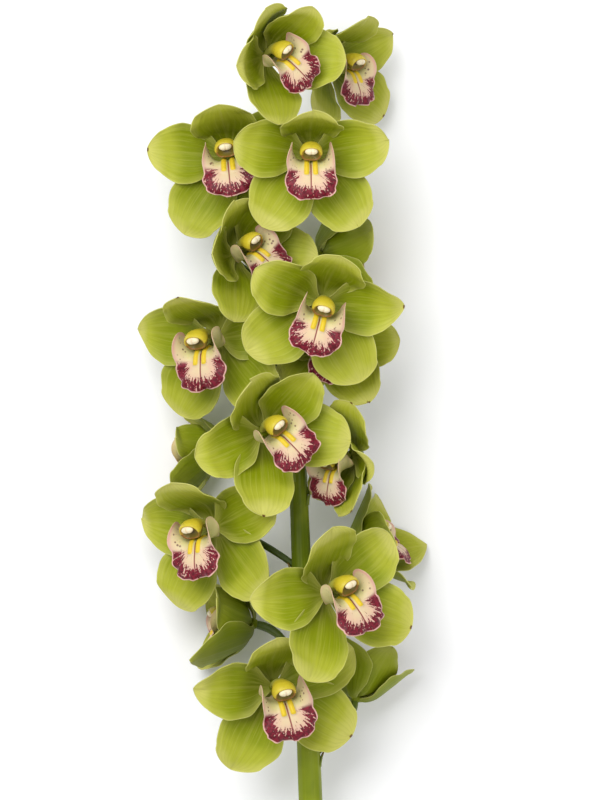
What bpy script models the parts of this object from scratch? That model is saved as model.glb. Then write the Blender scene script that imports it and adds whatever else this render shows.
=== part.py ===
"""Cymbidium orchid stem with eighteen open blooms, lying on its back.

Frame: +Z up, +Y along the stem to its tip, origin under the middle of the box that
holds it. Lengths in the tables are millimetres and angles degrees.
"""

import math
from dataclasses import dataclass

import bmesh
import bpy
import numpy as np

MM = 0.001

# Overall layout, before the origin moves under the middle of the box
STEM_FOOT_Y = -222.0
STEM_LEVEL_Y = -188.0
STEM_TIP_Y = 436.0
STEM_HEIGHT = 60.0
STEM_FOOT_HEIGHT = 7.7
STEM_DROP_POWER = 2.2

# Blades
BLADE = 1.0
SEPAL_LENGTH = 54.0
SEPAL_HALF_WIDTH = 20.5
PETAL_LENGTH = 50.0
PETAL_HALF_WIDTH = 19.5
LIP_BLADE = 0.9

# Where the blades of one bloom start, along its facing axis
SEPAL_LEVEL = -2.7
PETAL_LEVEL = 0.2
PETAL_TWIST = 16.0
CLAW_RADIUS = 1.6
OVARY_END = -5.2

# Rows and columns of the coarse meshes
TEPAL_ROWS = (0.0, 0.2, 0.46, 0.8, 1.0)
TEPAL_COLUMNS = (-1.0, -0.36, 0.36, 1.0)
LIP_ROWS = (0.0, 0.22, 0.38, 0.58, 0.8, 1.0)
LIP_COLUMNS = (-1.0, -0.52, -0.16, 0.0, 0.16, 0.52, 1.0)


@dataclass(frozen=True)
class Bend:
    """How one tepal leaves the bloom: all angles in degrees, seen from the front."""

    turn: float
    lean: float
    curl: float = 0.0
    sway: float = 0.0
    twist: float = 0.0
    cup: float = 45.0
    size: float = 1.0


@dataclass(frozen=True)
class Bloom:
    """One bloom: where its anther cap shows from above, its height, and which way it looks."""

    cap: tuple
    height: float
    yaw: float
    pitch: float
    roll: float
    dorsal: Bend
    petal_right: Bend
    sepal_right: Bend
    sepal_left: Bend
    petal_left: Bend
    size: float = 1.0
    root: float = 26.0
    stalk: float = 16.0


def seen(column, row):
    """A place in the view from above, counted in 0.6 mm steps from its upper left corner."""
    return ((column - 300) * 0.6, (800 - row) * 0.6)


BLOOMS = {
    "01": Bloom(
        seen(282, 51), 89, 31, 4, -38,
        dorsal=Bend(0, 60, 8),
        petal_right=Bend(66, 58, 5),
        sepal_right=Bend(134, 42),
        sepal_left=Bend(-134, 34),
        petal_left=Bend(-66, 44, 5),
        size=0.92,
        root=38.0,
    ),
    "02": Bloom(
        seen(355, 60), 36, 46, 0, -4,
        dorsal=Bend(0, 64, 5),
        petal_right=Bend(66, 30),
        sepal_right=Bend(134, 22),
        sepal_left=Bend(-134, 32),
        petal_left=Bend(-66, 36),
        size=0.9,
        root=22.0,
        stalk=20.0,
    ),
    "03": Bloom(
        seen(226, 147), 59, -5, 8, -8,
        dorsal=Bend(0, 72, 5),
        petal_right=Bend(76, 12, cup=35, size=0.95),
        sepal_right=Bend(153, 2, cup=25, size=0.86),
        sepal_left=Bend(-142, 6),
        petal_left=Bend(-78, 10),
    ),
    "04": Bloom(
        seen(311, 151), 84, 2, -2, 0,
        dorsal=Bend(0, 72, 5),
        petal_right=Bend(80, 20),
        sepal_right=Bend(146, 8),
        sepal_left=Bend(-146, 14),
        petal_left=Bend(-80, 22),
        size=0.98,
    ),
    "05": Bloom(
        seen(251, 241), 68, 28, 14, -34,
        dorsal=Bend(0, 64, 8, size=0.96),
        petal_right=Bend(70, 46),
        sepal_right=Bend(136, 40),
        sepal_left=Bend(-132, 16, size=0.92),
        petal_left=Bend(-70, 50),
        size=0.94,
    ),
    "06": Bloom(
        seen(324, 306), 95, 2, -12, 16,
        dorsal=Bend(0, 56, 5),
        petal_right=Bend(76, 12),
        sepal_right=Bend(138, 8),
        sepal_left=Bend(-138, 12),
        petal_left=Bend(-76, 28),
    ),
    "07": Bloom(
        seen(197, 338), 57, -28, -7, -8,
        dorsal=Bend(0, 66, 5, size=0.96),
        petal_right=Bend(92, 0, cup=30, size=0.79),
        sepal_right=Bend(140, 14),
        sepal_left=Bend(-140, 6, size=0.96),
        petal_left=Bend(-76, 4),
        size=1.05,
    ),
    "08": Bloom(
        seen(350, 246), 38, 112, 8, 0,
        dorsal=Bend(0, 45),
        petal_right=Bend(72, 40),
        sepal_right=Bend(138, 40),
        sepal_left=Bend(-138, 35),
        petal_left=Bend(-72, 40),
        size=0.86,
    ),
    "09": Bloom(
        seen(334, 340), 58, 6, -6, 8,
        dorsal=Bend(14, 30),
        petal_right=Bend(80, 20),
        sepal_right=Bend(140, 30),
        sepal_left=Bend(-140, 34),
        petal_left=Bend(-86, 42, size=0.85),
        size=0.85,
    ),
    "10": Bloom(
        seen(275, 424), 84, 22, 4, -38,
        dorsal=Bend(0, 56, 5),
        petal_right=Bend(70, 48),
        sepal_right=Bend(136, 30),
        sepal_left=Bend(-136, 18),
        petal_left=Bend(-72, 12),
    ),
    "11": Bloom(
        seen(328, 460), 60.5, -42, -14, 6,
        dorsal=Bend(24, 30, size=0.94),
        petal_right=Bend(86, 38, size=0.8),
        sepal_right=Bend(136, 56),
        sepal_left=Bend(-150, 56, size=0.745),
        petal_left=Bend(-66, 68, size=0.72),
        size=0.9,
        stalk=20.0,
    ),
    "12": Bloom(
        seen(184, 440), 30, -104, 0, 4,
        dorsal=Bend(-20, 62, size=0.9),
        petal_right=Bend(80, 45, size=0.78),
        sepal_right=Bend(138, 40),
        sepal_left=Bend(-138, 35),
        petal_left=Bend(-72, 45),
        size=0.86,
    ),
    "13": Bloom(
        seen(192, 527), 58, -32, -5, -8,
        dorsal=Bend(0, 66, 5),
        petal_right=Bend(76, 10),
        sepal_right=Bend(140, 16),
        sepal_left=Bend(-140, 6),
        petal_left=Bend(-76, 2),
        size=1.03,
    ),
    "14": Bloom(
        seen(345, 583), 80, 30, 8, -22,
        dorsal=Bend(0, 56, 5),
        petal_right=Bend(70, 26),
        sepal_right=Bend(136, 20),
        sepal_left=Bend(-138, 10),
        petal_left=Bend(-72, 0),
        size=1.05,
    ),
    "15": Bloom(
        seen(382, 530), 28.5, 78, 34, -20,
        dorsal=Bend(0, 60),
        petal_right=Bend(72, 45),
        sepal_right=Bend(138, 54, size=1.12),
        sepal_left=Bend(-138, 35),
        petal_left=Bend(-72, 56),
        size=0.86,
    ),
    "16": Bloom(
        seen(218, 614), 30.5, -84, 10, 0,
        dorsal=Bend(0, 50),
        petal_right=Bend(72, 50),
        sepal_right=Bend(142, 56, size=1.12),
        sepal_left=Bend(-138, 45),
        petal_left=Bend(-72, 45),
        size=0.9,
    ),
    "17": Bloom(
        seen(283, 688), 64, 14, -10, -14,
        dorsal=Bend(0, 56, 5, size=0.93),
        petal_right=Bend(76, 12),
        sepal_right=Bend(136, 14),
        sepal_left=Bend(-140, 4),
        petal_left=Bend(-76, 12),
        size=1.05,
    ),
    "18": Bloom(
        seen(359, 667), 33, 150, 70, 0,
        dorsal=Bend(0, 62),
        petal_right=Bend(72, 62),
        sepal_right=Bend(134, 50),
        sepal_left=Bend(-134, 50),
        petal_left=Bend(-72, 62),
        size=0.82,
        root=34.0,
    ),
}


def smooth(value):
    """Runs from 0 to 1 with level ends."""
    value = np.clip(value, 0.0, 1.0)
    return value * value * (3.0 - 2.0 * value)


def unit(vector):
    """The vector at length one, along the last axis."""
    return vector / np.maximum(np.linalg.norm(vector, axis=-1, keepdims=True), 1e-9)


def stem_height(y):
    """Height of the stem's axis: nearly level under the blooms, down to the surface at its foot."""
    reach = np.clip((STEM_TIP_Y - y) / (STEM_TIP_Y - STEM_LEVEL_Y), 0.0, 1.0)
    return STEM_HEIGHT - (STEM_HEIGHT - STEM_FOOT_HEIGHT) * reach**STEM_DROP_POWER


def stem_point(y):
    """A place on the stem's axis."""
    return np.array([6.2 - 0.0385 * y, y, float(stem_height(y))])


def stem_radius(y):
    """Half the stem's thickness, less towards the tip."""
    places = (STEM_FOOT_Y, 0.0, 170.0, 300.0, 400.0, STEM_TIP_Y)
    return float(np.interp(y, places, (7.9, 7.3, 5.8, 4.8, 3.2, 2.2)))


def bloom_axes(bloom):
    """The bloom's right, up and facing directions as rows."""
    yaw, pitch, roll = (math.radians(a) for a in (bloom.yaw, bloom.pitch, bloom.roll))
    facing = np.array([math.sin(yaw) * math.cos(pitch), math.sin(pitch), math.cos(yaw) * math.cos(pitch)])
    up = np.array([-math.sin(yaw) * math.sin(pitch), math.cos(pitch), -math.cos(yaw) * math.sin(pitch)])
    right = np.cross(up, facing)
    turned_up = math.cos(roll) * up + math.sin(roll) * right
    return np.array([np.cross(turned_up, facing), turned_up, facing])


def bloom_centre(bloom):
    """Where the tepals meet, found from the place of the anther cap."""
    axes = bloom_axes(bloom)
    cap = (3.0 * axes[1] + 22.0 * axes[2]) * bloom.size
    return np.array([bloom.cap[0] - cap[0], bloom.cap[1] - cap[1], bloom.height])


def placed(bloom, local):
    """Points of the bloom's own frame in the shared one."""
    return bloom_centre(bloom) + (local * bloom.size) @ bloom_axes(bloom)


def tepal_width(u, petal):
    """Half width of a tepal against its greatest, from a narrow claw to a blunt tip."""
    places = (0.0, 0.1, 0.2, 0.3, 0.42, 0.55, 0.68, 0.8, 0.9, 0.96, 1.0)
    petal_halves = (0.1, 0.28, 0.54, 0.76, 0.93, 1.0, 0.98, 0.88, 0.68, 0.5, 0.24)
    sepal_halves = (0.1, 0.25, 0.48, 0.69, 0.88, 0.98, 1.0, 0.9, 0.68, 0.5, 0.24)
    return np.interp(u, places, petal_halves if petal else sepal_halves)


def tepal_sheet(bend, petal, rows, columns):
    """Middle surface of a tepal and its front directions, in the bloom's own frame."""
    steps = 60
    t = (np.arange(steps) + 0.5) / steps
    length = (PETAL_LENGTH if petal else SEPAL_LENGTH) * bend.size
    widest = (PETAL_HALF_WIDTH if petal else SEPAL_HALF_WIDTH) * bend.size
    level = PETAL_LEVEL if petal else SEPAL_LEVEL
    lifted = -math.copysign(PETAL_TWIST, bend.turn) if petal else 0.0

    def frame(u):
        rise = np.radians(bend.lean * smooth(u / 0.36) + bend.curl * u**2)
        turn = np.radians(bend.turn + bend.sway * u)
        along = np.stack([np.sin(turn) * np.cos(rise), np.cos(turn) * np.cos(rise), np.sin(rise)], -1)
        side = np.stack([np.cos(turn), -np.sin(turn), np.zeros_like(turn)], -1)
        front = np.cross(side, along)
        twist = np.radians((bend.twist + lifted) * u)[:, None]
        across = side * np.cos(twist) + front * np.sin(twist)
        return along, across, front * np.cos(twist) - side * np.sin(twist)

    start = np.radians(bend.turn)
    origin = np.array([math.sin(start) * CLAW_RADIUS, math.cos(start) * CLAW_RADIUS, level])
    path = np.vstack([origin, origin + np.cumsum(frame(t)[0], axis=0) * (length - CLAW_RADIUS) / steps])
    u = np.asarray(rows, float)
    v = np.asarray(columns, float)
    centre = np.stack([np.interp(u, np.linspace(0, 1, steps + 1), path[:, i]) for i in range(3)], -1)
    _, side, front = frame(u)
    half = (widest * tepal_width(u, petal))[:, None]
    cup = np.radians(bend.cup * (1.0 if petal else 0.6)) * (1.0 - 0.4 * u**2)[:, None]
    across = half * np.sin(cup * v) / cup
    raised = half * (1.0 - np.cos(cup * v)) / cup
    points = centre[:, None] + across[..., None] * side[:, None] + raised[..., None] * front[:, None]
    normals = np.cos(cup * v)[..., None] * front[:, None] - np.sin(cup * v)[..., None] * side[:, None]
    return points, unit(normals)


def lip_half_width(u):
    """Half width of the flattened lip along its length: side lobes, a shallow notch, the middle lobe."""
    places = (0.0, 0.12, 0.25, 0.36, 0.42, 0.48, 0.54, 0.58, 0.64, 0.72, 0.82, 0.92, 1.0)
    halves = (3.4, 8.5, 15.5, 21.5, 20.0, 17.0, 14.6, 14.0, 15.6, 16.4, 15.0, 11.0, 3.6)
    return np.interp(u, places, halves)


def lip_fold(u):
    """How far the lip's sides are turned up beside the column, or down past the notch, in degrees."""
    places = (0.0, 0.12, 0.25, 0.42, 0.48, 0.54, 0.58, 0.64, 0.8, 1.0)
    folds = (20.0, 58.0, 80.0, 84.0, 72.0, 48.0, 18.0, -2.0, -14.0, -22.0)
    return np.interp(u, places, folds)


def lip_sheet(rows, columns):
    """Middle surface of a lip and its upper directions, in the bloom's own frame."""
    steps = 80
    t = (np.arange(steps) + 0.5) / steps

    def dip(u):
        return np.radians(4.0 + 62.0 * smooth((u - 0.32) / 0.24) + 62.0 * smooth((u - 0.62) / 0.5))

    length = 41.2
    origin = np.array([0.0, -4.1, 1.7])
    run = np.stack([np.zeros_like(t), -np.sin(dip(t)), np.cos(dip(t))], -1)
    path = np.vstack([origin, origin + np.cumsum(run, axis=0) * length / steps])
    u = np.asarray(rows, float)
    v = np.asarray(columns, float)
    centre = np.stack([np.interp(u, np.linspace(0, 1, steps + 1), path[:, i]) for i in range(3)], -1)
    side = np.array([1.0, 0.0, 0.0])
    upper = np.stack([np.zeros_like(u), np.cos(dip(u)), np.sin(dip(u))], -1)
    fold = np.radians(lip_fold(u))
    arcs = np.linspace(0.0, 1.0, 25)
    points = np.zeros((len(u), len(v), 3))
    normals = np.zeros_like(points)
    for i, half in enumerate(lip_half_width(u)):
        angle = fold[i] * (0.75 * smooth((arcs * half - 3.0) / 9.0) + 0.45 * smooth((arcs * half - 10.0) / 12.0))
        middle = (angle[1:] + angle[:-1]) / 2
        out = np.concatenate([[0.0], np.cumsum(np.cos(middle))]) * half / 24
        lift = np.concatenate([[0.0], np.cumsum(np.sin(middle))]) * half / 24
        for j, place in enumerate(v):
            sign = 1.0 if place >= 0 else -1.0
            x = np.interp(abs(place), arcs, out) * sign
            z = np.interp(abs(place), arcs, lift)
            a = np.interp(abs(place), arcs, angle) * sign
            points[i, j] = centre[i] + x * side + z * upper[i]
            normals[i, j] = np.cos(a) * upper[i] - np.sin(a) * side
    return points, unit(normals)


def keel_height(u, arc):
    """Two ridges on the upper face of the lip, either side of its middle line."""
    along = smooth((u - 0.2) / 0.1) * (1.0 - smooth((u - 0.58) / 0.08))
    return 1.8 * along * np.exp(-((np.abs(arc) - 2.6) / 1.2) ** 2)


def column_rings(rows, sides):
    """Rings of points round the arched column, and the middle of its two ends."""
    steps = 40
    t = (np.arange(steps) + 0.5) / steps

    def rise(u):
        return np.radians(24.0 - 62.0 * u**1.3)

    length = 24.0
    origin = np.array([0.0, 1.2, 2.8])
    run = np.stack([np.zeros_like(t), np.sin(rise(t)), np.cos(rise(t))], -1)
    path = np.vstack([origin, origin + np.cumsum(run, axis=0) * length / steps])
    u = np.asarray(rows, float)
    centre = np.stack([np.interp(u, np.linspace(0, 1, steps + 1), path[:, i]) for i in range(3)], -1)
    upper = np.stack([np.zeros_like(u), np.cos(rise(u)), -np.sin(rise(u))], -1)
    places = (0.0, 0.3, 0.6, 0.82, 0.94, 1.0)
    wide = np.interp(u, places, (3.3, 3.6, 4.9, 6.5, 6.2, 4.2))
    tall = np.interp(u, places, (2.6, 3.0, 4.2, 5.6, 5.6, 4.0))
    under = np.interp(u, places, (0.55, 0.6, 0.75, 0.95, 1.1, 1.0))
    turn = np.arange(sides) / sides * 2 * math.pi
    out = np.cos(turn)
    lift = np.where(np.sin(turn) > 0, 1.0, under[:, None]) * np.sin(turn)
    rings = (
        centre[:, None]
        + (wide[:, None] * out)[..., None] * np.array([1.0, 0.0, 0.0])
        + (tall[:, None] * lift)[..., None] * upper[:, None]
    )
    return rings, centre[0], centre[-1]


def rest_on_surface(points):
    """Lays what would go through the surface flat on it."""
    settled = points.copy()
    settled[..., 2] = np.maximum(settled[..., 2], BLADE / 2)
    return settled


def blade_mesh(name, points, normals, thickness, extra=None):
    """A closed blade round a middle surface, cut into the same triangles on both faces."""
    count_u, count_v = points.shape[:2]
    pointed = [np.ptp(points[i], axis=0).max() < 1e-6 for i in (0, -1)]
    rim = thickness / 2
    front = points + normals * (rim if extra is None else rim + extra[..., None])
    back = points - normals * rim
    for face in (front, back):
        face[..., 2] = np.where(face[..., 2] < 0.6 * BLADE, 0.0, face[..., 2])
    bm = bmesh.new()
    layers = []
    for face in (front, back):
        grid = []
        for i, row in enumerate(face):
            single = (i == 0 and pointed[0]) or (i == count_u - 1 and pointed[1])
            if single:
                grid.append([bm.verts.new(row[0] * MM)] * count_v)
            else:
                grid.append([bm.verts.new(p * MM) for p in row])
        layers.append(grid)
    for layer, grid in enumerate(layers):
        for i in range(count_u - 1):
            for j in range(count_v - 1):
                a, b, c, d = grid[i][j], grid[i][j + 1], grid[i + 1][j + 1], grid[i + 1][j]
                halves = ((a, b, c), (a, c, d)) if j < (count_v - 1) / 2 else ((a, b, d), (b, c, d))
                for corners in halves:
                    if len(set(corners)) == 3:
                        bm.faces.new(corners if layer == 0 else corners[::-1])
    top, under = layers
    last = count_u - 1
    edge = [(i, 0) for i in range(last, -1, -1)] + [(0, j) for j in range(1, count_v)]
    edge += [(i, count_v - 1) for i in range(1, count_u)] + [(last, j) for j in range(count_v - 2, -1, -1)]
    for (i, j), (m, n) in zip(edge, edge[1:]):
        if top[i][j] is not top[m][n]:
            bm.faces.new((top[m][n], top[i][j], under[i][j]))
            bm.faces.new((top[m][n], under[i][j], under[m][n]))
    bmesh.ops.recalc_face_normals(bm, faces=bm.faces)
    return mesh_object(name, bm)


def tube_mesh(name, rings, first, last):
    """A closed tube through rings of points, with its ends drawn to a middle point."""
    bm = bmesh.new()
    loops = [[bm.verts.new(p * MM) for p in ring] for ring in rings]
    sides = len(loops[0])
    for near, far in zip(loops, loops[1:]):
        for k in range(sides):
            after = (k + 1) % sides
            bm.faces.new((near[k], near[after], far[after]))
            bm.faces.new((near[k], far[after], far[k]))
    for loop, middle, way in ((loops[0], first, -1), (loops[-1], last, 1)):
        centre = bm.verts.new(middle * MM)
        for k in range(sides):
            after = (k + 1) % sides
            bm.faces.new((loop[k], loop[after], centre)[::way])
    bmesh.ops.recalc_face_normals(bm, faces=bm.faces)
    return mesh_object(name, bm)


def mesh_object(name, bm):
    """The finished mesh as an object in the scene."""
    mesh = bpy.data.meshes.new(name)
    bm.to_mesh(mesh)
    bm.free()
    thing = bpy.data.objects.new(name, mesh)
    bpy.context.scene.collection.objects.link(thing)
    return thing


def joined(name, pieces):
    """One closed body from pieces that run into each other."""
    target = pieces[0]
    helpers = bpy.data.collections.new(name + "_parts")
    bpy.context.scene.collection.children.link(helpers)
    for piece in pieces[1:]:
        bpy.context.scene.collection.objects.unlink(piece)
        helpers.objects.link(piece)
    union = target.modifiers.new("union", "BOOLEAN")
    union.operation = "UNION"
    union.operand_type = "COLLECTION"
    union.collection = helpers
    union.solver = "EXACT"
    bpy.context.view_layer.update()
    graph = bpy.context.evaluated_depsgraph_get()
    result = bpy.data.meshes.new_from_object(target.evaluated_get(graph))
    target.modifiers.clear()
    target.data = result
    for piece in list(helpers.objects):
        bpy.data.objects.remove(piece, do_unlink=True)
    bpy.data.collections.remove(helpers)
    target.name = name
    target.data.name = name
    return target


def swept(name, path, radii, sides):
    """A closed round stem along a path, its rings turned as little as can be."""
    along = unit(np.gradient(path, axis=0))
    upright = abs(along[0][2]) > 0.8
    across = unit(np.cross(along[0], np.array([0.0, 1.0, 0.0] if upright else [0.0, 0.0, 1.0])))
    turn = np.arange(sides) / sides * 2 * math.pi
    rings = []
    for place, way, radius in zip(path, along, radii):
        across = unit(across - way * np.dot(across, way))
        other = np.cross(across, way)
        rings.append(place + radius * (np.outer(np.cos(turn), across) + np.outer(np.sin(turn), other)))
    return tube_mesh(name, rings, path[0], path[-1])


def curve_through(start, start_way, end, end_way, straight, count):
    """A smooth path from one place and direction to another, nearly straight at its end."""
    reach = np.linalg.norm(end - start)
    a, b, c, d = start, start + start_way * reach * 0.35, end - end_way * straight, end
    t = np.linspace(0.0, 1.0, count)[:, None]
    return a * (1 - t) ** 3 + 3 * b * t * (1 - t) ** 2 + 3 * c * t**2 * (1 - t) + d * t**3


def make_tepals(number, bloom):
    """Three sepals and two petals on a short receptacle, as one body."""
    corners = np.radians((38.0, 107.0, 180.0, 253.0, 322.0))
    rings = []
    for level, radius in ((-4.3, 3.6), (1.2, 3.8)):
        ring = np.stack([radius * np.sin(corners), radius * np.cos(corners), np.full(5, level)], -1)
        rings.append(placed(bloom, ring))
    ends = placed(bloom, np.array([[0.0, 0.0, -4.4], [0.0, 0.0, 1.3]]))
    pieces = [tube_mesh("receptacle", rings, ends[0], ends[1])]
    for label in ("dorsal", "sepal_right", "sepal_left", "petal_right", "petal_left"):
        bend = getattr(bloom, label)
        points, normals = tepal_sheet(bend, label.startswith("petal"), TEPAL_ROWS, TEPAL_COLUMNS)
        points = rest_on_surface(placed(bloom, points))
        normals = normals @ bloom_axes(bloom)
        pieces.append(blade_mesh(label, points, normals, BLADE))
    return joined(f"bloom_{number}_tepals", pieces)


def make_lip(number, bloom):
    """The three-lobed lip with its two keels."""
    points, normals = lip_sheet(LIP_ROWS, LIP_COLUMNS)
    rows = np.array(LIP_ROWS)
    arcs = lip_half_width(rows)[:, None] * np.array(LIP_COLUMNS)
    arcs[:, 2], arcs[:, 4] = -2.6, 2.6
    keels = keel_height(rows[:, None], arcs) * bloom.size
    keels[:, 3] = 0.0
    points = rest_on_surface(placed(bloom, points))
    return blade_mesh(f"bloom_{number}_lip", points, normals @ bloom_axes(bloom), LIP_BLADE, keels)


def make_column(number, bloom):
    """The arched column with its anther cap."""
    rings, first, last = column_rings((0.0, 0.4, 0.82, 1.0), 6)
    ends = placed(bloom, np.array([first, last]))
    return tube_mesh(f"bloom_{number}_column", placed(bloom, rings), ends[0], ends[1])


def make_pedicel(number, bloom):
    """The ovary and its stalk, from inside the stem to behind the bloom."""
    centre = bloom_centre(bloom)
    facing = bloom_axes(bloom)[2]
    end = centre + facing * OVARY_END * bloom.size
    start = stem_point(min(end[1] - bloom.root, STEM_TIP_Y - 12.0))
    aside = unit((end - start) * np.array([1.0, 0.0, 1.0]))
    path = curve_through(start, unit(0.75 * aside + np.array([0.0, 0.65, 0.0])), end, facing, bloom.stalk, 6)
    radii = (1.9, 1.9, 1.9, 2.2, 2.5, 2.0)
    return swept(f"pedicel_{number}", path, radii, 5)


def make_bract(number, bloom):
    """The small pointed scale at the foot of a pedicel."""
    end = bloom_centre(bloom) + bloom_axes(bloom)[2] * OVARY_END * bloom.size
    root = stem_point(min(end[1] - bloom.root, STEM_TIP_Y - 12.0))
    aside = unit((end - root) * np.array([1.0, 0.0, 1.0]))
    ahead = np.array([0.0, 1.0, 0.0])
    across = np.cross(aside, ahead)
    base = root - ahead * 4.5 + aside * (stem_radius(root[1]) - 1.0)
    tip = root + ahead * 5.0 + aside * (stem_radius(root[1]) + 1.9)
    u = np.array([0.0, 0.5, 1.0])
    v = np.array([-1.0, 1.0])
    half = np.array([3.4, 2.6, 0.0])[:, None]
    points = (base + (tip - base) * u[:, None])[:, None] + (half * v)[..., None] * across
    normals = np.broadcast_to(unit(aside - 0.3 * ahead), points.shape).copy()
    return blade_mesh(f"bract_{number}", points, normals, 1.0)


def make_stem():
    """Scape and rachis, all pedicels and bracts, as one body."""
    places = [STEM_FOOT_Y, STEM_LEVEL_Y, -130.0, -60.0, 10.0, 80.0, 160.0, 240.0, 320.0, 385.0, STEM_TIP_Y]
    path = np.array([stem_point(y) for y in places])
    radii = [stem_radius(y) for y in places]
    pieces = [swept("axis", path, radii, 10)]
    for vertex in pieces[0].data.vertices:
        if vertex.co.z < 0.0006:
            vertex.co.z = 0.0
    for number, bloom in BLOOMS.items():
        pieces.append(make_pedicel(number, bloom))
        pieces.append(make_bract(number, bloom))
    return joined("stem", pieces)


def material(name, colour, roughness):
    """A plain surface with no metal in it."""
    finish = bpy.data.materials.new(name)
    finish.use_nodes = True
    shader = finish.node_tree.nodes["Principled BSDF"]
    shader.inputs["Base Color"].default_value = (*colour, 1.0)
    shader.inputs["Roughness"].default_value = roughness
    shader.inputs["Metallic"].default_value = 0.0
    return finish


def dress(thing, finish):
    """Gives an object its one material and smooth shading."""
    thing.data.materials.clear()
    thing.data.materials.append(finish)
    thing.data.shade_smooth()
    thing.data.set_sharp_from_angle(angle=math.radians(50))


def main():
    """Builds the whole stem."""
    for thing in list(bpy.data.objects):
        bpy.data.objects.remove(thing, do_unlink=True)
    nodes = [make_stem()]
    dress(nodes[0], material("stem_green", (0.16, 0.24, 0.03), 0.5))
    for number, bloom in BLOOMS.items():
        for build, label, colour, roughness in (
            (make_tepals, "tepals", (0.30, 0.34, 0.06), 0.45),
            (make_lip, "lip", (0.62, 0.35, 0.28), 0.5),
            (make_column, "column", (0.62, 0.55, 0.22), 0.4),
        ):
            thing = build(number, bloom)
            dress(thing, material(f"{label}_{number}", colour, roughness))
            nodes.append(thing)
    corners = np.array([v.co[:] for thing in nodes for v in thing.data.vertices])
    low, high = corners.min(axis=0), corners.max(axis=0)
    shift = np.array([(low[0] + high[0]) / 2, (low[1] + high[1]) / 2, 0.0])
    for thing in nodes:
        for vertex in thing.data.vertices:
            vertex.co.x -= shift[0]
            vertex.co.y -= shift[1]


main()
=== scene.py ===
"""Looks of a cut cymbidium stem: fine tepals, ruffled lips, columns, stalks and stem.

The stem lies on its back and the camera looks straight down on it. Lengths are
millimetres and angles degrees until a mesh is written.
"""

import logging
import math
from dataclasses import dataclass, field
from enum import Enum

import bpy
import numpy as np
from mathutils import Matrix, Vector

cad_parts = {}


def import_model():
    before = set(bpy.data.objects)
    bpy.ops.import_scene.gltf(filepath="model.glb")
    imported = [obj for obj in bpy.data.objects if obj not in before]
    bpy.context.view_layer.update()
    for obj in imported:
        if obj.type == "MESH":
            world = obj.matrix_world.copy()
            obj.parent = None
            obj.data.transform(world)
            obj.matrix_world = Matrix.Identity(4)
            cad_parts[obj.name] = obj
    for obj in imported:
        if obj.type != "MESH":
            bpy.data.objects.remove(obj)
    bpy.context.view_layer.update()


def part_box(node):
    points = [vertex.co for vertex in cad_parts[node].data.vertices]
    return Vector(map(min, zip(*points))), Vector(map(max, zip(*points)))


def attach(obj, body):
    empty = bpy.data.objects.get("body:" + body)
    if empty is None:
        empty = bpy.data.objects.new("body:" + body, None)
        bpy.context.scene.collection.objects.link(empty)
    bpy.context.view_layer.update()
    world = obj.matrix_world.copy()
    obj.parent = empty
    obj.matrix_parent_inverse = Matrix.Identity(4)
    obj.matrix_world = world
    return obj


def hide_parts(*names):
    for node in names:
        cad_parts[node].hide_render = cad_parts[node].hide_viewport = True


LOG = logging.getLogger("orchid")
MM = 0.001
# The view from above is counted in steps of this size, from its upper left corner
VIEW_STEP = 0.6
VIEW_MIDDLE_COLUMN = 300
VIEW_LAST_ROW = 800
# Where the anther cap sits in a bloom of size one, above the middle and in front of it
CAP_ABOVE = 3.0
CAP_AHEAD = 22.0
Colour = tuple[float, float, float]
Array = np.ndarray
ACROSS = np.array([1.0, 0.0, 0.0])
ALONG_STEM = np.array([0.0, 1.0, 0.0])


def srgb(red: int, green: int, blue: int) -> Colour:
    """A colour given as it shows on a screen, as the shader takes it.

    Args:
        red: Red from 0 to 255.
        green: Green from 0 to 255.
        blue: Blue from 0 to 255.

    Returns:
        The linear colour.
    """
    parts = [c / 255.0 for c in (red, green, blue)]
    return tuple(c / 12.92 if c <= 0.04045 else ((c + 0.055) / 1.055) ** 2.4 for c in parts)


def smooth(value: Array) -> Array:
    """Runs from 0 to 1 with level ends."""
    value = np.clip(value, 0.0, 1.0)
    return value * value * (3.0 - 2.0 * value)


def unit(vector: Array) -> Array:
    """The vector at length one, along the last axis."""
    return vector / np.maximum(np.linalg.norm(vector, axis=-1, keepdims=True), 1e-9)


def bunched(count: int, power: float, first: float = 0.0) -> Array:
    """Places from a first one to 1 that lie closer together towards the end."""
    return 1.0 - (1.0 - np.linspace(first, 1.0, count)) ** power


def edged(count: int, bow: float) -> Array:
    """Places from -1 to 1 that lie closer together towards both ends."""
    return np.sin(np.linspace(-1.0, 1.0, count) * bow) / math.sin(bow)


def step_middles(count: int) -> Array:
    """The middles of equal steps from 0 to 1."""
    return (np.arange(count) + 0.5) / count


def walk(origin: Array, ways: Array, length: float, u: Array) -> Array:
    """Places along a path that is made of equal steps.

    Args:
        origin: Where it starts.
        ways: The direction of each step.
        length: How long it is.
        u: The shares of its length that are wanted.

    Returns:
        The places.
    """
    steps = len(ways)
    path = np.vstack([origin, origin + np.cumsum(ways, axis=0) * length / steps])
    marks = np.linspace(0, 1, steps + 1)
    return np.stack([np.interp(u, marks, path[:, axis]) for axis in range(3)], -1)


def softened(
    u: Array, reach: float | Array, places: tuple[float, ...], values: tuple[float, ...]
) -> Array:
    """Reads a line through a few values with its corners rounded off.

    Args:
        u: Where it is read, from 0 to 1.
        reach: How far to either side the corners are rounded.
        places: Where the values hold.
        values: The values.

    Returns:
        What it reads.
    """
    near = np.clip(u[:, None] + np.linspace(-1.0, 1.0, 9) * reach, 0.0, 1.0)
    return np.interp(near, places, values).mean(axis=1)


def flattened(across: Array, along: Array) -> Array:
    """Flat places of a grid, from where it lies across and along."""
    return np.stack([across, np.broadcast_to(along, across.shape)], -1)


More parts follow.
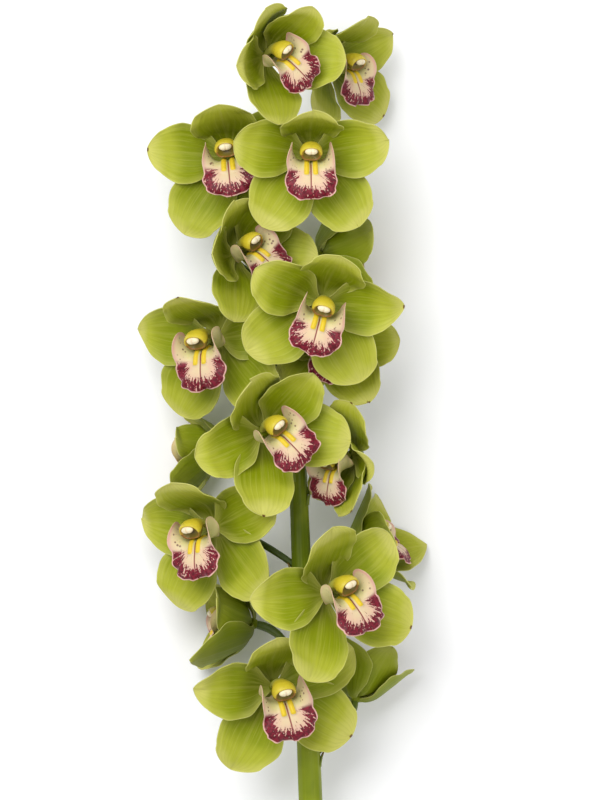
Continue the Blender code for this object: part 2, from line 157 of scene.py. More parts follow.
def edge_distance(flat: Array, half: Array, along: Array) -> Array:
    """How far the points of a flattened blade lie from its edge.

    Args:
        flat: Grid of flat places.
        half: The blade's half width at places close together.
        along: Those places along the blade.

    Returns:
        The least distance of each point.
    """
    edge = flattened(half, along)
    outline = np.concatenate([edge, edge * (-1.0, 1.0)])
    gaps = np.linalg.norm(flat.reshape(-1, 1, 2) - outline[None], axis=-1)
    return gaps.min(axis=1).reshape(flat.shape[:2])


def added(name: str, data: bpy.types.ID) -> bpy.types.Object:
    """Makes a new object of the scene.

    Args:
        name: Its name.
        data: Its mesh, lamp or camera.

    Returns:
        The object.
    """
    made = bpy.data.objects.new(name, data)
    bpy.context.scene.collection.objects.link(made)
    return made


class Label(Enum):
    """The five tepals of a bloom."""

    DORSAL = "dorsal"
    SEPAL_RIGHT = "sepal_right"
    SEPAL_LEFT = "sepal_left"
    PETAL_RIGHT = "petal_right"
    PETAL_LEFT = "petal_left"

    @property
    def petal(self) -> bool:
        """Whether this is one of the two petals."""
        return self in (Label.PETAL_RIGHT, Label.PETAL_LEFT)


@dataclass(frozen=True)
class Bend:
    """How one tepal leaves the bloom, seen from the front.

    The angles are degrees, the size is against the usual one, and the point goes from 0
    for a blunt tip to 1 for a pointed one.
    """

    turn: float
    lean: float
    curl: float = 0.0
    cup: float = 45.0
    size: float = 1.0
    point: float = 0.25


@dataclass(frozen=True)
class Bloom:
    """One bloom: where its anther cap shows, its height, and which way it looks.

    The root is how far down the stem its pedicel begins, and the stalk is how far behind
    the bloom the pedicel comes straight.
    """

    cap: tuple[float, float]
    height: float
    yaw: float
    pitch: float
    roll: float
    dorsal: Bend
    petal_right: Bend
    sepal_right: Bend
    sepal_left: Bend
    petal_left: Bend
    size: float = 1.0
    root: float = 26.0
    stalk: float = 16.0

    def axes(self) -> Array:
        """The bloom's right, up and facing directions as rows."""
        yaw, pitch, roll = (math.radians(angle) for angle in (self.yaw, self.pitch, self.roll))
        level, slope = math.cos(pitch), math.sin(pitch)
        facing = np.array([math.sin(yaw) * level, slope, math.cos(yaw) * level])
        up = np.array([-math.sin(yaw) * slope, level, -math.cos(yaw) * slope])
        turned = math.cos(roll) * up + math.sin(roll) * np.cross(up, facing)
        return np.array([np.cross(turned, facing), turned, facing])

    def centre(self) -> Array:
        """Where the tepals meet."""
        _, up, facing = self.axes()
        cap = (CAP_ABOVE * up + CAP_AHEAD * facing) * self.size
        return np.array([self.cap[0] - cap[0], self.cap[1] - cap[1], self.height])

    def placed(self, local: Array) -> Array:
        """Points of the bloom's own frame in the shared one."""
        return self.centre() + (local * self.size) @ self.axes()


def seen(column: float, row: float) -> tuple[float, float]:
    """A place that shows at a column and a row of the view from above."""
    return ((column - VIEW_MIDDLE_COLUMN) * VIEW_STEP, (VIEW_LAST_ROW - row) * VIEW_STEP)


BLOOMS = {
    "01": Bloom(
        cap=seen(282, 51), height=89, yaw=31, pitch=4, roll=-38,
        dorsal=Bend(0, 60, 8),
        petal_right=Bend(66, 58, 5),
        sepal_right=Bend(134, 42),
        sepal_left=Bend(-134, 34),
        petal_left=Bend(-66, 44, 5),
        size=0.92,
        root=38.0,
    ),
    "02": Bloom(
        cap=seen(355, 60), height=36, yaw=46, pitch=0, roll=-4,
        dorsal=Bend(0, 64, 5),
        petal_right=Bend(66, 30, point=0.8),
        sepal_right=Bend(134, 22),
        sepal_left=Bend(-134, 32),
        petal_left=Bend(-66, 36),
        size=0.9,
        root=22.0,
        stalk=20.0,
    ),
    "03": Bloom(
        cap=seen(226, 147), height=59, yaw=-5, pitch=8, roll=-8,
        dorsal=Bend(0, 72, 5),
        petal_right=Bend(76, 12, cup=35, size=0.95),
        sepal_right=Bend(153, 2, cup=25, size=0.86),
        sepal_left=Bend(-142, 6),
        petal_left=Bend(-78, 10, point=0.6),
    ),
    "04": Bloom(
        cap=seen(311, 151), height=84, yaw=2, pitch=-2, roll=0,
        dorsal=Bend(0, 72, 5),
        petal_right=Bend(80, 20),
        sepal_right=Bend(146, 8),
        sepal_left=Bend(-146, 14),
        petal_left=Bend(-80, 22),
        size=0.98,
    ),
    "05": Bloom(
        cap=seen(251, 241), height=68, yaw=28, pitch=14, roll=-34,
        dorsal=Bend(0, 64, 8, size=0.96),
        petal_right=Bend(70, 46),
        sepal_right=Bend(136, 40),
        sepal_left=Bend(-132, 16, size=0.92),
        petal_left=Bend(-70, 50),
        size=0.94,
    ),
    "06": Bloom(
        cap=seen(324, 306), height=95, yaw=2, pitch=-12, roll=16,
        dorsal=Bend(0, 56, 5),
        petal_right=Bend(76, 12, point=0.9),
        sepal_right=Bend(138, 8),
        sepal_left=Bend(-138, 12),
        petal_left=Bend(-76, 28),
    ),
    "07": Bloom(
        cap=seen(197, 338), height=57, yaw=-28, pitch=-7, roll=-8,
        dorsal=Bend(0, 66, 5, size=0.96),
        petal_right=Bend(92, 0, cup=30, size=0.79),
        sepal_right=Bend(140, 14),
        sepal_left=Bend(-140, 6, size=0.96),
        petal_left=Bend(-76, 4, point=0.9),
        size=1.05,
    ),
    "08": Bloom(
        cap=seen(350, 246), height=38, yaw=112, pitch=8, roll=0,
        dorsal=Bend(0, 45),
        petal_right=Bend(72, 40),
        sepal_right=Bend(138, 40),
        sepal_left=Bend(-138, 35),
        petal_left=Bend(-72, 40),
        size=0.86,
    ),
    "09": Bloom(
        cap=seen(334, 340), height=58, yaw=6, pitch=-6, roll=8,
        dorsal=Bend(14, 30),
        petal_right=Bend(80, 20),
        sepal_right=Bend(140, 30),
        sepal_left=Bend(-140, 34),
        petal_left=Bend(-86, 42, size=0.85),
        size=0.85,
    ),
    "10": Bloom(
        cap=seen(275, 424), height=84, yaw=22, pitch=4, roll=-38,
        dorsal=Bend(0, 56, 5),
        petal_right=Bend(70, 48),
        sepal_right=Bend(136, 30),
        sepal_left=Bend(-136, 18),
        petal_left=Bend(-72, 12),
    ),
    "11": Bloom(
        cap=seen(328, 460), height=60.5, yaw=-42, pitch=-14, roll=6,
        dorsal=Bend(24, 30, size=0.94),
        petal_right=Bend(86, 38, size=0.8),
        sepal_right=Bend(136, 56),
        sepal_left=Bend(-150, 56, size=0.745),
        petal_left=Bend(-66, 68, size=0.72),
        size=0.9,
        stalk=20.0,
    ),
    "12": Bloom(
        cap=seen(184, 440), height=30, yaw=-104, pitch=0, roll=4,
        dorsal=Bend(-20, 62, size=0.9),
        petal_right=Bend(80, 45, size=0.78),
        sepal_right=Bend(138, 40),
        sepal_left=Bend(-138, 35),
        petal_left=Bend(-72, 45),
        size=0.86,
    ),
    "13": Bloom(
        cap=seen(192, 527), height=58, yaw=-32, pitch=-5, roll=-8,
        dorsal=Bend(0, 66, 5),
        petal_right=Bend(76, 10),
        sepal_right=Bend(140, 16),
        sepal_left=Bend(-140, 6),
        petal_left=Bend(-76, 2, point=0.9),
        size=1.03,
    ),
    "14": Bloom(
        cap=seen(345, 583), height=80, yaw=30, pitch=8, roll=-22,
        dorsal=Bend(0, 56, 5),
        petal_right=Bend(70, 26),
        sepal_right=Bend(136, 20),
        sepal_left=Bend(-138, 10),
        petal_left=Bend(-72, 0, point=0.6),
        size=1.05,
    ),
    "15": Bloom(
        cap=seen(382, 530), height=28.5, yaw=78, pitch=34, roll=-20,
        dorsal=Bend(0, 60),
        petal_right=Bend(72, 45),
        sepal_right=Bend(138, 54, size=1.12, point=1.0),
        sepal_left=Bend(-138, 35),
        petal_left=Bend(-72, 56),
        size=0.86,
    ),
    "16": Bloom(
        cap=seen(218, 614), height=30.5, yaw=-84, pitch=10, roll=0,
        dorsal=Bend(0, 50),
        petal_right=Bend(72, 50),
        sepal_right=Bend(142, 56, size=1.12, point=1.0),
        sepal_left=Bend(-138, 45),
        petal_left=Bend(-72, 45),
        size=0.9,
    ),
    "17": Bloom(
        cap=seen(283, 688), height=64, yaw=14, pitch=-10, roll=-14,
        dorsal=Bend(0, 56, 5, size=0.93),
        petal_right=Bend(76, 12),
        sepal_right=Bend(136, 14),
        sepal_left=Bend(-140, 4),
        petal_left=Bend(-76, 12, point=0.8),
        size=1.05,
    ),
    "18": Bloom(
        cap=seen(359, 667), height=33, yaw=150, pitch=70, roll=0,
        dorsal=Bend(0, 62, point=0.8),
        petal_right=Bend(72, 62, point=0.8),
        sepal_right=Bend(134, 50, point=0.8),
        sepal_left=Bend(-134, 50, point=0.8),
        petal_left=Bend(-72, 62, point=0.8),
        size=0.82,
        root=34.0,
    ),
}


class Draft:
    """Gathers grids and tubes of points, with the values their finish reads, into one mesh."""

    shift: Array = np.zeros(3)

    def __init__(self) -> None:
        """Starts with nothing in it."""
        self.points: list[Array] = []
        self.quads: list[Array] = []
        self.tris: list[Array] = []
        self.values: dict[str, list[Array]] = {}
        self.count = 0

    def add_points(self, points: Array, values: dict[str, Array]) -> Array:
        """Adds points of any array shape.

        Args:
            points: Places in millimetres, the last axis being x, y, z.
            values: What each point carries, in arrays that fit the shape.

        Returns:
            The new points' numbers, in the shape given.
        """
        shape = points.shape[:-1]
        flat = points.reshape(-1, 3)
        ids = np.arange(self.count, self.count + len(flat)).reshape(shape)
        self.points.append(flat)
        for name in set(values) | set(self.values):
            filled = self.values.setdefault(name, [np.zeros(self.count)] if self.count else [])
            value = values.get(name, 0.0)
            filled.append(np.broadcast_to(np.asarray(value, float), shape).reshape(-1))
        self.count += len(flat)
        return ids

    def add_grid(self, ids: Array, flip: bool = False) -> None:
        """Adds faces between the rows and columns of a grid.

        Args:
            ids: The points' numbers.
            flip: Whether the faces look the other way.
        """
        quads = np.stack([ids[:-1, :-1], ids[:-1, 1:], ids[1:, 1:], ids[1:, :-1]], -1).reshape(-1, 4)
        self.quads.append(quads[:, ::-1] if flip else quads)

    def add_shell(self, front: Array, back: Array, values: dict[str, Array]) -> None:
        """A closed blade: two faces and the rim that joins them.

        Args:
            front: Grid of points of the front face.
            back: Grid of points of the back face.
            values: What the points carry; "back" is added.
        """
        near = self.add_points(front, {**values, "back": 0.0})
        far = self.add_points(back, {**values, "back": 1.0})
        self.add_grid(near)
        self.add_grid(far, flip=True)
        for row in (0, -1):
            self.add_grid(np.stack([near[row], far[row]]), flip=row == 0)
        for column in (0, -1):
            self.add_grid(np.stack([near[:, column], far[:, column]]), flip=column == -1)

    def add_rings(self, rings: Array, values: dict[str, Array], first: Array, last: Array) -> None:
        """A closed tube through rings of points.

        Args:
            rings: Array of rings, each of the same number of points.
            values: What the points carry.
            first: The middle of the first end.
            last: The middle of the last end.
        """
        ids = self.add_points(rings, values)
        self.add_grid(np.concatenate([ids, ids[:, :1]], axis=1), flip=True)
        for row, middle, flip in ((0, first, False), (-1, last, True)):
            ends = {name: np.broadcast_to(value, ids.shape)[row, 0] for name, value in values.items()}
            tip = int(self.add_points(middle[None], ends)[0])
            loop = ids[row]
            fan = np.stack([loop, np.roll(loop, -1), np.full_like(loop, tip)], -1)
            self.tris.append(fan[:, ::-1] if flip else fan)

    def build(self, name: str, finish: bpy.types.Material, sharp: float = 60.0) -> bpy.types.Object:
        """Writes the mesh.

        Args:
            name: The piece's name.
            finish: Its material.
            sharp: Edges that turn more than this many degrees stay crisp.

        Returns:
            The piece, with its place in its mesh.
        """
        mesh = bpy.data.meshes.new(name)
        points = (np.concatenate(self.points) + self.shift) * MM
        faces = [face for block in self.quads + self.tris for face in block.tolist()]
        mesh.from_pydata(points.tolist(), [], faces)
        for key, blocks in self.values.items():
            attribute = mesh.attributes.new(key, "FLOAT", "POINT")
            attribute.data.foreach_set("value", np.concatenate(blocks).astype(np.float32))
        mesh.materials.append(finish)
        mesh.shade_smooth()
        mesh.set_sharp_from_angle(angle=math.radians(sharp))
        LOG.info("%s: %d points", name, self.count)
        return added(name, mesh)


class Graph:
    """Short ways to lay out nodes in a tree."""

    def __init__(self, tree: bpy.types.NodeTree) -> None:
        """Works in the given tree."""
        self.tree = tree

    def feed(self, socket: bpy.types.NodeSocket, value: object) -> None:
        """Joins a socket to another, or gives it a number or colour.

        Args:
            socket: The socket.
            value: The other socket, or what it is set to.
        """
        if isinstance(value, bpy.types.NodeSocket):
            self.tree.links.new(value, socket)
        elif isinstance(value, tuple) and len(value) == 3 and socket.type == "RGBA":
            socket.default_value = (*value, 1.0)
        else:
            socket.default_value = value

    def node(self, kind: str, **sockets: object) -> bpy.types.Node:
        """A new node with some of its sockets fed.

        Args:
            kind: The node's type.
            sockets: What its sockets get, with the spaces of their names as underscores.

        Returns:
            The node.
        """
        made = self.tree.nodes.new(kind)
        for key, value in sockets.items():
            self.feed(made.inputs[key.replace("_", " ")], value)
        return made

    def calc(self, kind: str, *terms: object) -> bpy.types.NodeSocket:
        """One step of arithmetic.

        Args:
            kind: The step's name.
            terms: What it works on.

        Returns:
            The result.
        """
        made = self.node("ShaderNodeMath")
        made.operation = kind
        for socket, term in zip(made.inputs, terms):
            self.feed(socket, term)
        return made.outputs[0]

    def times(self, first: object, *others: object) -> bpy.types.NodeSocket:
        """Multiplies values.

        Args:
            first: The first value.
            others: The values that it is multiplied by.

        Returns:
            The product.
        """
        for other in others:
            first = self.calc("MULTIPLY", first, other)
        return first


class Skin(Graph):
    """The nodes of one material, which read the piece's own place and the values it carries."""

    def __init__(self, name: str) -> None:
        """Makes a material with its shader.

        Args:
            name: The material's name.
        """
        self.material = bpy.data.materials.new(name)
        self.material.use_nodes = True
        super().__init__(self.material.node_tree)
        self.shader = self.tree.nodes["Principled BSDF"]
        self.place = self.node("ShaderNodeTexCoord").outputs["Object"]

    def value(self, name: str) -> bpy.types.NodeSocket:
        """Reads what the mesh carries.

        Args:
            name: What it is kept as.

        Returns:
            The value.
        """
        made = self.node("ShaderNodeAttribute")
        made.attribute_name = name
        return made.outputs["Fac"]

    def step(self, value: object, low: float, high: float) -> bpy.types.NodeSocket:
        """Rises smoothly from 0 to 1 between two values, or falls if they are swapped.

        Args:
            value: What is read.
            low: Where the result is 0.
            high: Where the result is 1.

        Returns:
            The result.
        """
        rising = low < high
        made = self.node(
            "ShaderNodeMapRange", Value=value,
            From_Min=min(low, high), From_Max=max(low, high),
            To_Min=0.0 if rising else 1.0, To_Max=1.0 if rising else 0.0,
        )
        made.interpolation_type = "SMOOTHSTEP"
        return made.outputs["Result"]

    def mix(self, share: object, first: object, second: object) -> bpy.types.NodeSocket:
        """Mixes two colours.

        Args:
            share: How much of the second, from 0 to 1.
            first: The first colour.
            second: The second colour.

        Returns:
            The mixed colour.
        """
        made = self.node("ShaderNodeMix")
        made.data_type = "RGBA"
        made.clamp_factor = True
        colours = [socket for socket in made.inputs if socket.type == "RGBA"]
        for socket, term in zip((made.inputs[0], *colours), (share, first, second)):
            self.feed(socket, term)
        return next(socket for socket in made.outputs if socket.type == "RGBA")

    def tint(self, colour: object, other: object, most: float, where: object) -> bpy.types.NodeSocket:
        """Lays some of another colour over one.

        Args:
            colour: The colour below.
            other: The colour above.
            most: How much of it where the mask is 1.
            where: The mask.

        Returns:
            The mixed colour.
        """
        return self.mix(self.times(where, most), colour, other)

    def ramp(self, value: object, stops: tuple[tuple[float, Colour], ...]) -> bpy.types.NodeSocket:
        """A run of colours along a value.

        Args:
            value: What is read.
            stops: Places from 0 to 1 and their colours.

        Returns:
            The colour.
        """
        made = self.node("ShaderNodeValToRGB", Fac=value)
        band = made.color_ramp
        band.interpolation = "EASE"
        while len(band.elements) < len(stops):
            band.elements.new(1.0)
        for element, (place, colour) in zip(band.elements, stops):
            element.position = place
            element.color = (*colour, 1.0)
        return made.outputs["Color"]

    def vector(self, x: object, y: object, z: object) -> bpy.types.NodeSocket:
        """A place made of three values."""
        return self.node("ShaderNodeCombineXYZ", X=x, Y=y, Z=z).outputs[0]

    def noise(self, scale: float, detail: float = 2.0, at: object = None) -> bpy.types.NodeSocket:
        """Soft random patches from 0 to 1.

        Args:
            scale: How many there are in a length.
            detail: How much finer structure they have.
            at: Where they are read, or else the piece's own place.

        Returns:
            The patches' values.
        """
        at = self.place if at is None else at
        return self.node("ShaderNodeTexNoise", Scale=scale, Detail=detail, Vector=at).outputs["Fac"]

    def freckles(self, scale: float, radius: float, soft: float) -> bpy.types.NodeSocket:
        """Small scattered round spots, as a mask.

        Args:
            scale: How many there are in a length.
            radius: Where a spot ends, in shares of their spacing.
            soft: Where its full strength ends.

        Returns:
            The mask.
        """
        spots = self.node("ShaderNodeTexVoronoi", Scale=scale, Vector=self.place)
        return self.step(spots.outputs["Distance"], radius, soft)

    def bump(
        self, height: object, depth: float, strength: float, under: object = None
    ) -> bpy.types.NodeSocket:
        """Relief of the surface.

        Args:
            height: Its height from 0 to 1.
            depth: Its depth in metres.
            strength: How much of it shows.
            under: Another relief that it lies on.

        Returns:
            The surface's direction.
        """
        made = self.node("ShaderNodeBump", Strength=strength, Distance=depth, Height=height)
        if under is not None:
            self.feed(made.inputs["Normal"], under)
        return made.outputs[0]

    def finish(
        self, colour: object, rough: object, normal: object, **numbers: object
    ) -> bpy.types.Material:
        """Joins everything to the shader.

        Args:
            colour: Base colour.
            rough: Roughness.
            normal: Surface relief.
            numbers: Other sockets, with their spaces as underscores.

        Returns:
            The material.
        """
        for key, value in {"Base_Color": colour, "Roughness": rough, "Normal": normal, **numbers}.items():
            self.feed(self.shader.inputs[key.replace("_", " ")], value)
        return self.material


@dataclass(frozen=True)
class TepalFinish:
    """Waxy yellow-green skin with parallel veins, paler towards the rim."""

    heart: Colour = srgb(98, 108, 0)
    body: Colour = srgb(124, 136, 0)
    outer: Colour = srgb(158, 163, 42)
    tip: Colour = srgb(186, 184, 92)
    rim: Colour = srgb(198, 196, 118)
    vein: Colour = srgb(104, 114, 0)
    underside: Colour = srgb(108, 122, 2)
    mark: Colour = srgb(96, 62, 24)
    marked_share: float = 0.78
    vein_count: float = 34.0

    def material(self) -> bpy.types.Material:
        """The finished material."""
        n = Skin("tepal_skin")
        across, along, rim = n.value("across"), n.value("along"), n.value("rim")
        back, seed = n.value("back"), n.value("seed")
        off_middle = n.calc("ABSOLUTE", n.value("arc"))
        # The green pales from the heart to the tip, in uneven patches
        reach = n.calc("MULTIPLY_ADD", n.noise(30.0, 3.0), 0.5, n.calc("SUBTRACT", along, 0.25))
        stops = ((0.16, self.heart), (0.5, self.body), (0.8, self.outer), (1.0, self.tip))
        colour = n.tint(n.ramp(reach, stops), self.tip, 0.38, n.step(rim, 6.0, 0.0))
        # Parallel veins, each a little uneven
        fan = n.calc("MULTIPLY_ADD", across, 9.0, n.times(seed, 7.0))
        lines = n.noise(2.6, 2.0, n.vector(fan, n.times(along, 0.9), seed))
        veins = n.calc("SINE", n.calc("MULTIPLY_ADD", lines, 2.4, n.times(across, self.vein_count)))
        colour = n.tint(colour, self.vein, 0.1, n.step(veins, 0.2, 1.0))
        colour = n.tint(colour, self.tip, 0.22, n.step(lines, 0.45, 0.75))
        colour = n.tint(colour, self.tip, 0.16, n.step(off_middle, 1.6, 0.0))
        colour = n.tint(colour, self.underside, 0.5, back)
        colour = n.tint(colour, self.rim, 0.55, n.step(rim, 0.6, 0.05))
        # A small brown point at the tips of some blooms
        point = n.times(n.step(along, 0.972, 0.985), n.step(off_middle, 1.6, 0.6))
        marked = n.step(seed, self.marked_share, self.marked_share + 0.02)
        colour = n.mix(n.times(point, marked), colour, self.mark)
        grain = n.noise(900.0)
        relief = n.bump(veins, 0.00007, 0.45, n.bump(grain, 0.00006, 0.5))
        return n.finish(
            colour, n.calc("MULTIPLY_ADD", grain, 0.16, 0.46), relief,
            Specular_IOR_Level=0.18, Subsurface_Weight=0.12, Subsurface_Scale=0.0018,
            Subsurface_Radius=(1.0, 1.0, 0.25),
        )


@dataclass(frozen=True)
class LipFinish:
    """Cream lip with yellow keels and a ragged crimson band inside a pale pink rim."""

    cream: Colour = srgb(200, 192, 132)
    green: Colour = srgb(158, 162, 70)
    blush: Colour = srgb(212, 184, 160)
    pink: Colour = srgb(204, 150, 144)
    crimson: Colour = srgb(118, 6, 34)
    deep: Colour = srgb(84, 0, 18)
    keel: Colour = srgb(212, 184, 36)
    freckle: Colour = srgb(90, 40, 44)

    def material(self) -> bpy.types.Material:
        """The finished material."""
        n = Skin("lip_skin")
        along, rim = n.value("along"), n.value("rim")
        off_middle = n.calc("ABSOLUTE", n.value("arc"))
        middle_lobe = n.step(along, 0.535, 0.585)
        colour = n.mix(n.step(along, 0.3, 0.02), self.cream, self.green)
        colour = n.tint(colour, self.blush, 0.5, n.step(rim, 9.0, 2.0))
        colour = n.tint(colour, self.pink, 0.75, n.step(rim, 2.2, 0.3))
        colour = n.tint(colour, self.blush, 0.6, n.step(along, 0.46, 0.58))
        colour = n.tint(colour, self.pink, 0.6, n.times(n.step(rim, 13.0, 5.0), middle_lobe))
        line = n.times(n.step(off_middle, 0.62, 0.22), n.step(along, 0.4, 0.46))
        colour = n.tint(colour, self.crimson, 0.9, line)
        band = self.band(n, rim, middle_lobe)
        dark = n.mix(n.step(n.noise(700.0), 0.4, 0.6), self.crimson, self.deep)
        colour = n.mix(band, colour, dark)
        # Freckles on the side lobes, clear of their rims
        side_lobes = n.times(
            n.step(off_middle, 8.0, 10.5), n.step(along, 0.36, 0.44),
            n.calc("SUBTRACT", 1.0, middle_lobe), n.step(rim, 1.5, 3.0),
        )
        spots = n.times(n.freckles(420.0, 0.34, 0.22), side_lobes)
        colour = n.tint(colour, self.freckle, 0.8, spots)
        colour = n.mix(n.step(n.value("keel"), 0.3, 0.6), colour, self.keel)
        colour = n.tint(colour, self.cream, 0.6, n.value("back"))
        grain = n.noise(1600.0)
        relief = n.bump(band, 0.00008, 0.4, n.bump(grain, 0.00012, 0.6))
        return n.finish(
            colour, n.calc("MULTIPLY_ADD", grain, 0.2, 0.42), relief,
            Specular_IOR_Level=0.35, Subsurface_Weight=0.15, Subsurface_Scale=0.0015,
            Subsurface_Radius=(1.0, 0.6, 0.4),
        )

    def band(
        self, n: Skin, rim: bpy.types.NodeSocket, middle_lobe: bpy.types.NodeSocket
    ) -> bpy.types.NodeSocket:
        """The crimson band that breaks up inwards into streaks and flecks, as a mask.

        Args:
            n: The material's nodes.
            rim: Distance from the edge.
            middle_lobe: Mask of the middle lobe.

        Returns:
            The mask.
        """
        ray, seed = n.value("ray"), n.value("seed")
        streak_at = n.vector(n.times(ray, 8.5), n.times(rim, 0.11), n.times(seed, 9.0))
        fleck_at = n.vector(n.times(ray, 9.0), n.times(rim, 0.6), n.calc("MULTIPLY_ADD", seed, 9.0, 4.0))
        streaks = n.times(n.noise(1.9, 3.0, streak_at), 0.66)
        flecks = n.times(n.noise(1.5, 2.0, fleck_at), 0.34)
        inwards = n.times(n.step(rim, 3.2, 12.0), 0.27)
        depth = n.calc("SUBTRACT", n.calc("ADD", streaks, flecks), inwards)
        return n.times(n.step(depth, 0.38, 0.42), n.step(rim, 0.5, 0.9), middle_lobe)


@dataclass(frozen=True)
class ColumnFinish:
    """Yellow hood, cream body, olive-brown mottle, a reddish edge, and painted shade on the underside and
    in the sunken end face.
    """

    body: Colour = srgb(178, 176, 84)
    hood: Colour = srgb(196, 178, 44)
    # Olive-brown, used for the random mottle and for painted shade on the underside and in the end face
    under: Colour = srgb(112, 96, 18)
    # Painted shade, darkest deep in the sunken end face
    recess_shade: Colour = srgb(60, 38, 10)
    edge: Colour = srgb(150, 84, 40)

    def material(self) -> bpy.types.Material:
        """The finished material."""
        n = Skin("column_skin")
        along, below, face = n.value("along"), n.value("below"), n.value("face")
        mottle = n.noise(300.0, 3.0)
        stops = ((0.0, self.body), (0.45, self.body), (0.75, self.hood), (1.0, self.hood))
        colour = n.tint(n.ramp(along, stops), self.under, 0.25, n.step(mottle, 0.5, 0.8))
        # Painted shade in olive-brown on the underside, its edge broken up by the mottle
        shade = n.step(n.calc("MULTIPLY_ADD", mottle, 0.3, below), 0.5, 0.9)
        colour = n.mix(n.times(shade, n.step(along, 0.35, 0.7)), colour, self.under)
        ring = n.times(n.step(face, 0.04, 0.2), n.step(face, 0.5, 0.3))
        colour = n.tint(colour, self.edge, 0.6, ring)
        # Painted shade in the sunken end face, olive-brown and darkest at its middle
        colour = n.mix(n.step(face, 0.3, 0.55), colour, self.under)
        colour = n.tint(colour, self.recess_shade, 0.8, n.step(face, 0.75, 1.0))
        grain = n.noise(1400.0)
        return n.finish(
            colour, n.calc("MULTIPLY_ADD", grain, 0.15, 0.33), n.bump(grain, 0.00006, 0.5),
            Specular_IOR_Level=0.4, Subsurface_Weight=0.12, Subsurface_Scale=0.0015,
            Subsurface_Radius=(1.0, 0.8, 0.3),
        )


@dataclass(frozen=True)
class CapFinish:
    """Cream anther cap with painted shade in its middle groove, and a few random darker patches."""

    pale: Colour = srgb(226, 214, 180)
    # Darker cream: painted shade in the middle groove, and random patches
    groove: Colour = srgb(206, 180, 140)

    def material(self) -> bpy.types.Material:
        """The finished material."""
        n = Skin("anther_cap_skin")
        # Painted shade in the middle groove, then random darker patches
        colour = n.tint(self.pale, self.groove, 0.6, n.step(n.value("groove"), 0.2, 0.9))
        colour = n.tint(colour, self.groove, 0.3, n.step(n.noise(500.0), 0.5, 0.8))
        grain = n.noise(1800.0)
        return n.finish(
            colour, n.calc("MULTIPLY_ADD", grain, 0.15, 0.32), n.bump(grain, 0.00005, 0.5),
            Specular_IOR_Level=0.45, Subsurface_Weight=0.2, Subsurface_Scale=0.001,
            Subsurface_Radius=(1.0, 0.8, 0.5),
        )


@dataclass(frozen=True)
class StalkFinish:
    """Green stem skin with fine lengthwise streaks and a few pale pores."""

    name: str
    light: Colour
    dark: Colour
    streak: Colour

    def material(self) -> bpy.types.Material:
        """The finished material."""
        n = Skin(self.name)
        colour = n.mix(n.step(n.noise(26.0, 3.0), 0.35, 0.7), self.dark, self.light)
        streaks_at = n.vector(n.times(n.value("round"), 22.0), n.times(n.value("along"), 1.6), 0.0)
        streaks = n.noise(3.0, 3.0, streaks_at)
        colour = n.tint(colour, self.streak, 0.4, n.step(streaks, 0.5, 0.75))
        colour = n.tint(colour, self.streak, 0.35, n.step(n.noise(480.0, 1.0), 0.74, 0.8))
        grain = n.noise(1100.0)
        relief = n.bump(streaks, 0.0002, 0.4, n.bump(grain, 0.00006, 0.5))
        return n.finish(
            colour, n.calc("MULTIPLY_ADD", grain, 0.15, 0.36), relief,
            Specular_IOR_Level=0.22, Subsurface_Weight=0.08, Subsurface_Scale=0.001,
            Subsurface_Radius=(0.6, 1.0, 0.2),
        )


@dataclass(frozen=True)
class BractFinish:
    """Thin green scale, papery and brown at its point."""

    green: Colour = srgb(122, 136, 52)
    dry: Colour = srgb(128, 84, 48)

    def material(self) -> bpy.types.Material:
        """The finished material."""
        n = Skin("bract_skin")
        dryness = n.calc("MULTIPLY_ADD", n.noise(300.0, 3.0), 0.4, n.value("along"))
        lines = n.calc("SINE", n.times(n.value("across"), 22.0))
        colour = n.mix(n.step(dryness, 0.75, 1.15), self.green, self.dry)
        colour = n.tint(colour, self.dry, 0.2, n.step(lines, 0.4, 1.0))
        rough = n.calc("MULTIPLY_ADD", n.noise(1200.0), 0.2, 0.5)
        return n.finish(colour, rough, n.bump(lines, 0.00008, 0.5), Specular_IOR_Level=0.3)


